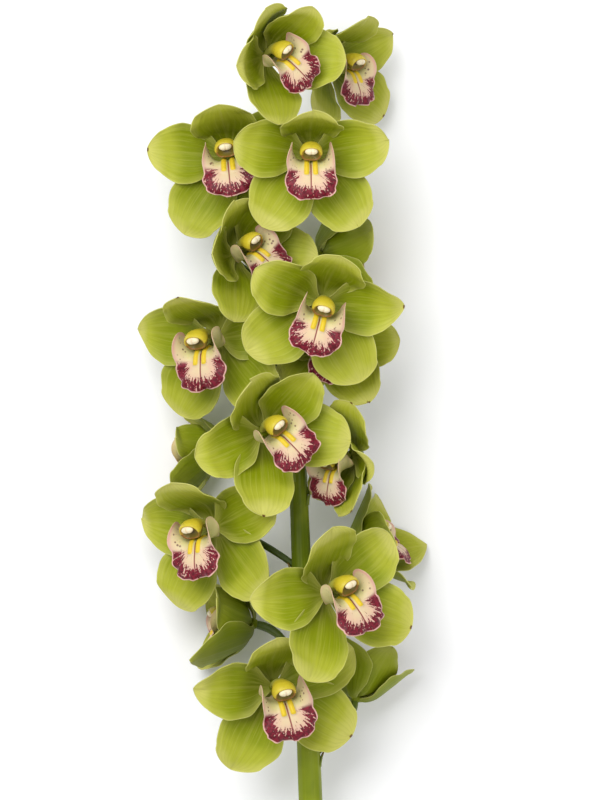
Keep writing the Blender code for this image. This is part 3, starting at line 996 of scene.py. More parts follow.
@dataclass
class Tepals:
    """The three sepals and two petals of one bloom, on their short receptacle."""

    sepal_length: float = 54.0
    sepal_half_width: float = 20.5
    petal_length: float = 50.0
    petal_half_width: float = 19.5
    sepal_level: float = -2.7
    petal_level: float = 0.2
    petal_twist: float = 16.0
    sepal_cup_share: float = 0.6
    claw: float = 1.6
    arch_end: float = 0.36
    thick: float = 1.0
    rim_thick: float = 0.42
    rib_height: float = 0.45
    groove_depth: float = 0.28
    swell_height: float = 0.16
    margin_wave: float = 0.9
    margin_frill: float = 0.5
    swing_height: float = 0.35
    unevenness: float = 0.045
    most_reflex: float = 3.2
    rows: int = 44
    columns: int = 31
    seed: int = 100
    places: tuple[float, ...] = (0.0, 0.1, 0.2, 0.3, 0.42, 0.55, 0.68, 0.8, 0.9, 0.96, 1.0)
    petal_halves: tuple[float, ...] = (0.1, 0.32, 0.64, 0.86, 0.97, 1.0, 0.98, 0.88, 0.68, 0.44, 0.08)
    sepal_halves: tuple[float, ...] = (0.1, 0.28, 0.56, 0.78, 0.93, 1.0, 0.99, 0.89, 0.68, 0.43, 0.08)
    rims: dict[tuple[bool, float], Array] = field(default_factory=dict)

    def half_width(self, u: Array, petal: bool, point: float) -> Array:
        """Half width against the greatest, from a narrow claw to the tip.

        Args:
            u: Places along the blade, from 0 to 1.
            petal: Whether it is a petal.
            point: How pointed its tip is, from 0 for blunt to 1.

        Returns:
            The half width at each place.
        """
        reach = 0.05 * np.clip((1.0 - u) / 0.2, 0.0, 1.0)[:, None]
        body = softened(u, reach, self.places, self.petal_halves if petal else self.sepal_halves)
        tip = 0.88 * (1.0 - np.clip((u - 0.8) / 0.2, 0.0, 1.0) ** 2.2) ** 0.62
        share = smooth((u - 0.8) / 0.08)
        blunt = body * (1.0 - share) + tip * share
        narrowed = 1.0 - np.clip((u - 0.56) / 0.44, 0.0, 1.0) ** 1.35
        pointed = np.minimum(body, 1.02 * np.clip(narrowed, 0.0, 1.0) ** 0.8)
        return blunt * (1.0 - point) + pointed * point

    def rim(self, petal: bool, point: float, u: Array, v: Array) -> Array:
        """Distance of each grid point from the blade's edge, worked out once for each shape.

        Args:
            petal: Whether it is a petal.
            point: How pointed its tip is.
            u: Places along the blade.
            v: Places across it, from -1 to 1.

        Returns:
            The distances at size one.
        """
        if (petal, point) not in self.rims:
            length = self.petal_length if petal else self.sepal_length
            widest = self.petal_half_width if petal else self.sepal_half_width
            dense = bunched(160, 1.6, 0.03)
            across = widest * self.half_width(u, petal, point)[:, None] * v
            half = widest * self.half_width(dense, petal, point)
            flat = flattened(across, u[:, None] * length)
            self.rims[petal, point] = edge_distance(flat, half, dense * length)
        return self.rims[petal, point]

    def ways(self, bend: Bend, petal: bool, u: Array) -> tuple[Array, Array, Array]:
        """Directions at places along a blade.

        Args:
            bend: How it leaves the bloom.
            petal: Whether it is a petal.
            u: The places.

        Returns:
            The way along it, the way across it, and the way out of its face.
        """
        turn = math.radians(bend.turn)
        rise = np.radians(bend.lean * smooth(u / self.arch_end) + bend.curl * u**2)
        level = np.cos(rise)
        along = np.stack([math.sin(turn) * level, math.cos(turn) * level, np.sin(rise)], -1)
        side = np.array([math.cos(turn), -math.sin(turn), 0.0])
        front = np.cross(side, along)
        lifted = -math.copysign(self.petal_twist, bend.turn) if petal else 0.0
        twist = np.radians(lifted * u)[:, None]
        across = side * np.cos(twist) + front * np.sin(twist)
        return along, across, front * np.cos(twist) - side * np.sin(twist)

    def ripple(self, run: Array, v: Array, rim: Array, waves: Array) -> Array:
        """How far the wavy margin and the blade's slow swing stand out of its cup.

        Args:
            run: Places along the blade, as a column.
            v: Places across it.
            rim: Distance from its edge.
            waves: Where its waves begin.

        Returns:
            The height at each grid point.
        """
        sides = np.where(v > 0, waves[0], waves[1])
        margin = np.exp(-rim / 5.0) * smooth(run / 0.3)
        wave = self.margin_wave * np.sin(run * 11.0 + sides)
        frill = self.margin_frill * np.sin(run * 25.0 + sides * 2.3)
        swing = self.swing_height * np.sin(run * 5.0 + waves[2]) * np.sin(v * 3.0 + waves[3])
        return margin * (wave + frill) + swing * smooth(rim / 6.0)

    def blade(self, draft: Draft, bloom: Bloom, label: Label, random: np.random.Generator) -> None:
        """Adds one tepal: its arch, cup, midrib, wavy margin and thin rim.

        Args:
            draft: Where it goes.
            bloom: The bloom that it belongs to.
            label: Which of the five it is.
            random: Source of its small differences.
        """
        bend: Bend = getattr(bloom, label.value)
        petal = label.petal
        length = (self.petal_length if petal else self.sepal_length) * bend.size
        widest = (self.petal_half_width if petal else self.sepal_half_width) * bend.size
        turn = math.radians(bend.turn)
        level = self.petal_level if petal else self.sepal_level
        origin = np.array([math.sin(turn) * self.claw, math.cos(turn) * self.claw, level])
        u, v = bunched(self.rows, 1.45, 0.012), edged(self.columns, 1.25)
        u[-1] = 0.9994
        run = u[:, None]
        centre = walk(origin, self.ways(bend, petal, step_middles(60))[0], length - self.claw, u)
        _, side, front = self.ways(bend, petal, u)
        waves = random.uniform(0.0, 6.28, 6)
        reflex = random.uniform(0.6, self.most_reflex)
        rim = self.rim(petal, bend.point, u, v) * bend.size
        # The cup: each row is an arc, tighter near the claw
        sides = np.where(v > 0, waves[0], waves[1])
        uneven = 1.0 + self.unevenness * np.sin(run * 6.5 + sides * 1.7) * smooth(run / 0.4)
        half = (widest * self.half_width(u, petal, bend.point))[:, None] * uneven
        cup = np.radians(bend.cup * (1.0 if petal else self.sepal_cup_share)) * (1.0 - 0.4 * run**2)
        across = half * np.sin(cup * v) / cup
        raised = half * (1.0 - np.cos(cup * v)) / cup + self.ripple(run, v, rim, waves)
        raised = raised - reflex * smooth((run - 0.78) / 0.22) ** 2
        arc = half * v
        points = centre[:, None] + across[..., None] * side[:, None] + raised[..., None] * front[:, None]
        normals = np.cos(cup * v)[..., None] * front[:, None] - np.sin(cup * v)[..., None] * side[:, None]
        points, normals = bloom.placed(points), unit(normals) @ bloom.axes()
        # The blade thins to its rim, with a groove above the midrib and its rib behind
        thick = (self.rim_thick + (self.thick - self.rim_thick) * smooth(rim / 4.5)) / 2
        rib = np.exp(-((arc / 1.1) ** 2)) * smooth(rim / 5.0) * (1.0 - 0.6 * run)
        swell = self.swell_height * np.sin(v * 15.0) ** 2 * smooth(rim / 3.0) * smooth(run / 0.25)
        over, rear = thick + swell - self.groove_depth * rib, thick + self.rib_height * rib
        # Nothing goes below the surface that the stem lies on
        points[..., 2] = np.maximum(points[..., 2], rear)
        back = points - normals * rear[..., None]
        back[..., 2] = np.maximum(back[..., 2], 0.0)
        values = {"across": v, "along": run, "rim": rim, "arc": arc, "seed": random.uniform(0.0, 1.0)}
        draft.add_shell(points + normals * over[..., None], back, values)

    def receptacle(self, draft: Draft, bloom: Bloom) -> None:
        """Adds the short barrel that carries the tepals.

        Args:
            draft: Where it goes.
            bloom: The bloom that it belongs to.
        """
        levels = np.array([-5.0, -4.4, -2.6, -0.6, 0.8, 1.2])
        radii = np.array([2.4, 3.2, 3.6, 3.7, 3.4, 2.4])
        turn = np.linspace(0.0, 2 * math.pi, 24, endpoint=False)
        ring = np.stack([np.sin(turn), np.cos(turn)], -1) * (1.0 + 0.05 * np.cos(turn * 3))[:, None]
        heights = np.broadcast_to(levels[:, None, None], (len(levels), len(turn), 1))
        rings = np.concatenate([radii[:, None, None] * ring, heights], -1)
        values = {"across": 0.4, "along": 0.05, "rim": 9.0, "arc": 5.0, "seed": 0.3, "back": 0.6}
        ends = bloom.placed(np.array([[0.0, 0.0, -5.1], [0.0, 0.0, 1.3]]))
        draft.add_rings(bloom.placed(rings)[:, ::-1], values, ends[0], ends[1])

    def build(self, number: str, bloom: Bloom, finish: bpy.types.Material) -> bpy.types.Object:
        """Builds the bloom's tepals as one piece.

        Args:
            number: The bloom's number.
            bloom: The bloom.
            finish: The tepals' material.

        Returns:
            The piece.
        """
        random = np.random.default_rng(self.seed + int(number))
        draft = Draft()
        for label in Label:
            self.blade(draft, bloom, label, random)
        self.receptacle(draft, bloom)
        return draft.build(f"tepals_{number}", finish)


@dataclass
class Lip:
    """The three-lobed lip: side lobes beside the column, keels, and a ruffled middle lobe."""

    length: float = 41.2
    base_below: float = -4.1
    base_ahead: float = 1.7
    thick: float = 0.9
    rim_thick: float = 0.4
    keel_height: float = 2.0
    groove_depth: float = 0.3
    rows: int = 74
    columns: int = 61
    seed: int = 300
    notch: float = 0.57
    cheek_wave: float = 0.5
    ruffle: float = 1.15
    # Share and count of each wave around the middle lobe
    ruffle_waves: tuple[tuple[float, float], ...] = ((1.0, 6.0), (0.7, 12.0), (0.4, 21.0))
    # Slope at the base, and how much it steepens at each of the two bends
    base_slope: float = 4.0
    bend_slope: float = 62.0

    def half_width(self, u: Array) -> Array:
        """Half width of the flattened lip: wide side lobes, a waist, and the middle lobe.

        Args:
            u: Places along the lip, from 0 to 1.

        Returns:
            The half width at each place.
        """
        places = (0.0, 0.12, 0.25, 0.36, 0.42, 0.48, 0.54, 0.58, 0.64, 0.72, 0.82, 0.92, 1.0)
        halves = (3.4, 8.5, 15.5, 21.5, 21.5, 19.0, 15.8, 14.4, 15.6, 16.4, 15.0, 11.0, 1.2)
        near = softened(u, 0.035, places, halves)
        tip = 15.4 * np.sqrt(np.clip(1.0 - np.clip((u - 0.8) / 0.2, 0.0, 1.0) ** 2.4, 0.0, 1.0))
        share = smooth((u - 0.8) / 0.06)
        return near * (1.0 - share) + tip * share

    def fold(self, u: Array) -> Array:
        """How far the sides are turned up beside the column, or down past the notch.

        Args:
            u: Places along the lip, from 0 to 1.

        Returns:
            The angle at each place.
        """
        places = (0.0, 0.12, 0.25, 0.42, 0.48, 0.54, 0.58, 0.64, 0.8, 1.0)
        folds = (20.0, 58.0, 80.0, 80.0, 65.0, 42.0, 17.0, -2.0, -14.0, -22.0)
        return np.radians(softened(u, 0.02, places, folds))

    def dip(self, u: Array) -> Array:
        """How steeply the lip runs down, past level, along its length.

        Args:
            u: Places along the lip, from 0 to 1.

        Returns:
            The slope at each place.
        """
        first, second = smooth((u - 0.32) / 0.24), smooth((u - 0.62) / 0.5)
        return np.radians(self.base_slope + self.bend_slope * first + self.bend_slope * second)

    def surface(self, u: Array, v: Array) -> tuple[Array, Array, Array]:
        """The middle surface.

        Args:
            u: Places along the lip, from 0 to 1.
            v: Places across it, from -1 to 1.

        Returns:
            Points and normals in the bloom's frame, and the half width of each row.
        """
        slopes = self.dip(step_middles(160))
        ways = np.stack([np.zeros_like(slopes), -np.sin(slopes), np.cos(slopes)], -1)
        centre = walk(np.array([0.0, self.base_below, self.base_ahead]), ways, self.length, u)
        upper = np.stack([np.zeros_like(u), np.cos(self.dip(u)), np.sin(self.dip(u))], -1)
        fold, halves = self.fold(u), self.half_width(u)
        steps = 60
        arcs = np.linspace(0.0, 1.0, steps + 1)
        points = np.zeros((len(u), len(v), 3))
        normals = np.zeros_like(points)
        sign = np.where(v >= 0, 1.0, -1.0)
        for i, half in enumerate(halves):
            near = smooth((arcs * half - 3.0) / 9.0)
            far = smooth((arcs * half - 10.0) / 12.0)
            angle = fold[i] * (0.75 * near + 0.45 * far)
            between = (angle[1:] + angle[:-1]) / 2
            out = np.concatenate([[0.0], np.cumsum(np.cos(between))]) * half / steps
            lift = np.concatenate([[0.0], np.cumsum(np.sin(between))]) * half / steps
            x, z, tilt = (np.interp(abs(v), arcs, values) for values in (out, lift, angle))
            points[i] = centre[i] + (x * sign)[:, None] * ACROSS + z[:, None] * upper[i]
            tilt = (tilt * sign)[:, None]
            normals[i] = np.cos(tilt) * upper[i] - np.sin(tilt) * ACROSS
        return points, unit(normals), halves

    def keels(self, run: Array, arc: Array) -> Array:
        """Height of the two ridges, from 0 to 1.

        Args:
            run: Places along the lip, as a column.
            arc: Distance from its middle line.

        Returns:
            The height at each grid point.
        """
        along = smooth((run - 0.2) / 0.1) * (1.0 - smooth((run - 0.6) / 0.05))
        centre = 2.2 + 0.6 * np.clip((run - 0.2) / 0.4, 0.0, 1.0)
        return along * np.exp(-(((np.abs(arc) - centre) / 1.65) ** 4))

    def ruffles(self, run: Array, v: Array, rim: Array, ray: Array, phase: Array) -> Array:
        """How far the middle lobe's ruffles and the side lobes' waves stand out.

        Args:
            run: Places along the lip, as a column.
            v: Places across it.
            rim: Distance from its edge.
            ray: Direction of each point from the middle lobe's foot.
            phase: Where the waves begin.

        Returns:
            The height at each grid point.
        """
        lobe = smooth((run - self.notch + 0.03) / 0.08)
        waves = sum(
            share * np.sin(ray * count + start)
            for (share, count), start in zip(self.ruffle_waves, phase)
        )
        raised = self.ruffle * lobe * np.exp(-rim / 3.2) * waves
        cheek = np.exp(-rim / 3.0) * np.sin(run * 30.0 + phase[3] + np.sign(v))
        return raised + self.cheek_wave * (1.0 - lobe) * cheek

    def build(self, number: str, bloom: Bloom, finish: bpy.types.Material) -> bpy.types.Object:
        """Builds one lip.

        Args:
            number: The bloom's number.
            bloom: The bloom.
            finish: The lip's material.

        Returns:
            The piece.
        """
        random = np.random.default_rng(self.seed + int(number))
        u, v = bunched(self.rows, 1.3), edged(self.columns, 1.2)
        u[-1] = 0.9993
        run = u[:, None]
        points, normals, halves = self.surface(u, v)
        arc = halves[:, None] * v
        flat = flattened(arc, run * self.length)
        dense = bunched(300, 1.5)
        rim = edge_distance(flat, self.half_width(dense), dense * self.length)
        ray = np.arctan2(flat[..., 0], flat[..., 1] - 0.52 * self.length)
        phase = random.uniform(0.0, 6.28, 4)
        keels = self.keels(run, arc)
        thick = (self.rim_thick + (self.thick - self.rim_thick) * smooth(rim / 3.0)) / 2
        groove = np.exp(-((arc / 0.5) ** 2)) * smooth((run - 0.1) / 0.1) * smooth((0.9 - run) / 0.2)
        over = thick + self.keel_height * keels - self.groove_depth * groove
        middle = points + normals * self.ruffles(run, v, rim, ray, phase)[..., None]
        front = middle + normals * over[..., None]
        back = middle - normals * thick[..., None]
        values = {"arc": arc, "along": run, "rim": rim, "ray": ray, "keel": keels}
        values["seed"] = random.uniform(0.0, 1.0)
        draft = Draft()
        draft.add_shell(bloom.placed(front), bloom.placed(back), values)
        return draft.build(f"lip_{number}", finish)


@dataclass(frozen=True)
class Profile:
    """Half width of a column, its height above the middle, and the share of that below it."""

    wide: tuple[float, ...]
    tall: tuple[float, ...]
    under: tuple[float, ...]
    places: tuple[float, ...] = (0.0, 0.3, 0.6, 0.82, 0.94, 1.0)

    def rings(self, centre: Array, upper: Array, u: Array, turn: Array, out: Array) -> Array:
        """Rings of points around a column's middle line.

        Args:
            centre: Places on the line.
            upper: The way up at each.
            u: How far along the line each is, from 0 to 1.
            turn: Angles around a ring.
            out: How far to the side a point lies at each angle, from -1 to 1.

        Returns:
            The rings.
        """
        wide, tall, under = (np.interp(u, self.places, size) for size in (self.wide, self.tall, self.under))
        lift = np.where(np.sin(turn) > 0, 1.0, under[:, None]) * np.sin(turn)
        aside = (wide[:, None] * out)[..., None] * ACROSS
        return centre[:, None] + aside + (tall[:, None] * lift)[..., None] * upper[:, None]


@dataclass
class Column:
    """The arched column with its hooded end, and the anther cap under the hood."""

    length: float = 24.0
    base_above: float = 1.2
    base_ahead: float = 2.8
    base_slope: float = 24.0
    slope_fall: float = 62.0
    hollow_depth: float = 1.5
    sides: int = 40
    face_below: float = 1.5
    face_end: float = -2.9
    # Rings of the sunken end face: share of the hood's ring, way ahead, and darkness of its painted shade
    face_rings: tuple[tuple[float, float, float], ...] = (
        (0.9, 0.1, 0.15), (0.8, -0.5, 0.4), (0.62, -1.6, 0.6), (0.36, -2.4, 0.8), (0.14, -2.8, 1.0),
    )
    fine: Profile = Profile(
        wide=(3.3, 3.6, 4.9, 6.9, 7.0, 6.4),
        tall=(2.6, 3.0, 4.2, 5.9, 6.0, 5.5),
        under=(0.55, 0.6, 0.75, 0.95, 1.15, 1.15),
    )
    # The solid's column ends a little narrower, and its size is read from the frame
    packed: Profile = Profile(
        wide=(3.3, 3.6, 4.9, 6.5, 6.2, 4.2),
        tall=(2.6, 3.0, 4.2, 5.6, 5.6, 4.0),
        under=(0.55, 0.6, 0.75, 0.95, 1.1, 1.0),
    )
    cap_above: float = 2.5
    cap_ahead: float = 0.3
    cap_half_sizes: tuple[float, float, float] = (3.9, 2.2, 2.0)
    cap_groove: float = 0.16

    def rise(self, u: Array) -> Array:
        """How steeply the column climbs along its length."""
        return np.radians(self.base_slope - self.slope_fall * u**1.3)

    def spine(self, u: Array) -> tuple[Array, Array, Array]:
        """Middle, upper and forward directions along the column.

        Args:
            u: Places along it, from 0 to 1.

        Returns:
            The places on its middle line, the way up and the way ahead.
        """
        slopes = self.rise(step_middles(60))
        ways = np.stack([np.zeros_like(slopes), np.sin(slopes), np.cos(slopes)], -1)
        centre = walk(np.array([0.0, self.base_above, self.base_ahead]), ways, self.length, u)
        flat, angle = np.zeros_like(u), self.rise(u)
        upper = np.stack([flat, np.cos(angle), -np.sin(angle)], -1)
        ahead = np.stack([flat, np.sin(angle), np.cos(angle)], -1)
        return centre, upper, ahead

    def build(self, number: str, bloom: Bloom, finish: bpy.types.Material) -> bpy.types.Object:
        """Builds one column.

        Args:
            number: The bloom's number.
            bloom: The bloom.
            finish: The column's material.

        Returns:
            The piece.
        """
        u = np.concatenate([np.linspace(0.0, 0.86, 20), [0.9, 0.94, 0.97, 0.99, 1.0]])
        centre, upper, ahead = self.spine(u)
        turn = np.linspace(0.0, 2 * math.pi, self.sides, endpoint=False)
        out = np.sign(np.cos(turn)) * np.abs(np.cos(turn)) ** 0.9
        rings = self.fine.rings(centre, upper, u, turn, out)
        # The underside is hollowed and the end face sinks behind the hood's edge
        hollow = np.clip(-np.sin(turn), 0.0, 1.0) ** 3 * smooth(u / 0.3)[:, None]
        rings = rings + (self.hollow_depth * hollow)[..., None] * upper[:, None]
        # Mask of the painted shade under the column; the end face rings below deepen it
        below = np.broadcast_to(smooth(0.42 - np.sin(turn) * 1.3), rings.shape[:2])
        middle = centre[-1] - upper[-1] * self.face_below
        loops, belows, faces = [rings], [below], [np.zeros(rings.shape[:2])]
        for share, sink, depth in self.face_rings:
            loop = middle + (rings[-1] - middle) * share + ahead[-1] * sink
            loops.append(loop[None])
            belows.append(np.maximum(below[-1:], depth))
            faces.append(np.full((1, self.sides), depth))
        values = {
            "along": np.concatenate([u, np.ones(len(self.face_rings))])[:, None],
            "below": np.concatenate(belows)[:, ::-1],
            "face": np.concatenate(faces),
        }
        ends = bloom.placed(np.stack([centre[0], middle + ahead[-1] * self.face_end]))
        draft = Draft()
        draft.add_rings(bloom.placed(np.concatenate(loops))[:, ::-1], values, ends[0], ends[1])
        return draft.build(f"column_{number}", finish, sharp=75.0)

    def build_cap(self, number: str, bloom: Bloom, finish: bpy.types.Material) -> bpy.types.Object:
        """Builds the two-lobed anther cap that sits under the hood.

        Args:
            number: The bloom's number.
            bloom: The bloom.
            finish: The cap's material.

        Returns:
            The piece.
        """
        centre, upper, ahead = (values[0] for values in self.spine(np.array([1.0])))
        theta = np.linspace(0.02, math.pi - 0.02, 18)[:, None]
        turn = np.linspace(0.0, 2 * math.pi, 32, endpoint=False)
        level, around = np.sin(theta), np.stack([np.cos(turn), np.sin(turn)])
        ball = np.stack([level * around[0], level * around[1], np.cos(theta) + 0.0 * turn], -1)
        groove = np.exp(-((ball[..., 0] / 0.16) ** 2)) * np.clip(ball[..., 2] + 0.3, 0.0, 1.0)
        ball = ball * (1.0 - self.cap_groove * groove)[..., None] * self.cap_half_sizes
        middle = centre + upper * self.cap_above + ahead * self.cap_ahead
        points = middle + ball @ np.array([ACROSS, upper, ahead])
        poles = bloom.placed(np.stack([points[0].mean(axis=0), points[-1].mean(axis=0)]))
        draft = Draft()
        draft.add_rings(bloom.placed(points), {"groove": groove}, poles[0], poles[1])
        return draft.build(f"anther_cap_{number}", finish)


class StalkSkin(Graph):
    """Geometry nodes that put a ribbed round skin on lines that carry a thickness."""

    def __init__(self) -> None:
        """Makes the tree, with inputs for its sides, spacing, ribs, unevenness, seed and material."""
        super().__init__(bpy.data.node_groups.new("stalk_skin", "GeometryNodeTree"))
        face = self.tree.interface
        face.new_socket("Geometry", in_out="INPUT", socket_type="NodeSocketGeometry")
        for name, kind, value in (
            ("Sides", "NodeSocketInt", 24),
            ("Spacing", "NodeSocketFloat", 0.0015),
            ("Ribs", "NodeSocketFloat", 6.0),
            ("Rib height", "NodeSocketFloat", 0.0002),
            ("Unevenness", "NodeSocketFloat", 0.0003),
            ("Seed", "NodeSocketFloat", 3.0),
        ):
            face.new_socket(name, in_out="INPUT", socket_type=kind).default_value = value
        face.new_socket("Material", in_out="INPUT", socket_type="NodeSocketMaterial")
        face.new_socket("Geometry", in_out="OUTPUT", socket_type="NodeSocketGeometry")
        given = self.node("NodeGroupInput").outputs
        tube = self.tube(given)
        moved = self.node("GeometryNodeSetPosition", Geometry=tube, Offset=self.relief(given))
        soft = self.node("GeometryNodeSetShadeSmooth", Geometry=moved.outputs["Geometry"])
        real = self.node("GeometryNodeRealizeInstances", Geometry=soft.outputs["Geometry"])
        dressed = self.node(
            "GeometryNodeSetMaterial", Geometry=real.outputs["Geometry"], Material=given["Material"],
        )
        self.node("NodeGroupOutput", Geometry=dressed.outputs["Geometry"])

    def store(self, geometry: object, name: str, value: object) -> bpy.types.NodeSocket:
        """Keeps a value on the geometry's points.

        Args:
            geometry: The geometry.
            name: What the value is kept as.
            value: The value.

        Returns:
            The geometry with it.
        """
        made = self.node("GeometryNodeStoreNamedAttribute", Geometry=geometry, Name=name)
        made.data_type = "FLOAT"
        made.domain = "POINT"
        self.feed(made.inputs["Value"], value)
        return made.outputs["Geometry"]

    def named(self, name: str) -> bpy.types.NodeSocket:
        """Reads a value that the points keep.

        Args:
            name: What it is kept as.

        Returns:
            The value.
        """
        made = self.node("GeometryNodeInputNamedAttribute", Name=name)
        made.data_type = "FLOAT"
        return made.outputs["Attribute"]

    def share(self) -> bpy.types.NodeSocket:
        """How far along its line or ring a point lies."""
        return self.node("GeometryNodeSplineParameter").outputs["Factor"]

    def tube(self, given: bpy.types.NodeOutputs) -> bpy.types.NodeSocket:
        """Round closed tubes along the lines.

        Args:
            given: The tree's inputs.

        Returns:
            The tubes, which carry "along" and "round".
        """
        curve = self.node("GeometryNodeMeshToCurve", Mesh=given["Geometry"]).outputs["Curve"]
        spaced = self.node("GeometryNodeResampleCurve")
        spaced.mode = "LENGTH"
        self.feed(spaced.inputs["Curve"], curve)
        self.feed(spaced.inputs["Length"], given["Spacing"])
        line = self.store(spaced.outputs["Curve"], "along", self.share())
        sized = self.node("GeometryNodeSetCurveRadius", Curve=line, Radius=self.named("thickness"))
        ring = self.node("GeometryNodeCurvePrimitiveCircle", Resolution=given["Sides"], Radius=1.0)
        profile = self.store(ring.outputs["Curve"], "round", self.share())
        return self.node(
            "GeometryNodeCurveToMesh", Curve=sized.outputs["Curve"], Profile_Curve=profile,
            Scale=self.named("thickness"), Fill_Caps=True,
        ).outputs["Mesh"]

    def relief(self, given: bpy.types.NodeOutputs) -> bpy.types.NodeSocket:
        """Lengthwise ribs and soft lumps.

        Args:
            given: The tree's inputs.

        Returns:
            How far each point moves.
        """
        wave = self.calc("COSINE", self.times(self.named("round"), 2 * math.pi, given["Ribs"]))
        clouds = self.node("ShaderNodeTexNoise")
        clouds.noise_dimensions = "4D"
        clouds.inputs["Scale"].default_value = 90.0
        self.feed(clouds.inputs["W"], given["Seed"])
        lumps = self.times(self.calc("SUBTRACT", clouds.outputs["Fac"], 0.5), given["Unevenness"])
        height = self.calc("ADD", self.times(wave, given["Rib height"]), lumps)
        scaled = self.node("ShaderNodeVectorMath")
        scaled.operation = "SCALE"
        self.feed(scaled.inputs[0], self.node("GeometryNodeInputNormal").outputs["Normal"])
        self.feed(scaled.inputs["Scale"], height)
        return scaled.outputs["Vector"]

    def dress(
        self, name: str, paths: list[tuple[Array, Array]], **sizes: object
    ) -> bpy.types.Object:
        """Puts the skin on lines and keeps it as a plain mesh.

        Args:
            name: The piece's name.
            paths: Places and radii along each line.
            sizes: The tree's inputs, with their spaces as underscores.

        Returns:
            The piece, closed and facing outwards.
        """
        edges, first = [], 0
        for path, _ in paths:
            edges += [(first + i, first + i + 1) for i in range(len(path) - 1)]
            first += len(path)
        points = np.concatenate([path for path, _ in paths]) + Draft.shift
        radii = np.concatenate([radius for _, radius in paths])
        bare = bpy.data.meshes.new(name)
        bare.from_pydata((points * MM).tolist(), edges, [])
        thickness = bare.attributes.new("thickness", "FLOAT", "POINT")
        thickness.data.foreach_set("value", (radii * MM).astype(np.float32))
        piece = added(name, bare)
        skin = piece.modifiers.new("skin", "NODES")
        skin.node_group = self.tree
        for item in self.tree.interface.items_tree:
            key = item.name.replace(" ", "_")
            if item.in_out == "INPUT" and key in sizes:
                skin[item.identifier] = sizes[key]
        bpy.context.view_layer.update()
        graph = bpy.context.evaluated_depsgraph_get()
        mesh = bpy.data.meshes.new_from_object(piece.evaluated_get(graph))
        piece.modifiers.clear()
        piece.data = mesh
        mesh.name = name
        mesh.set_sharp_from_angle(angle=math.radians(50))
        LOG.info("%s: %d faces", name, len(mesh.polygons))
        return piece


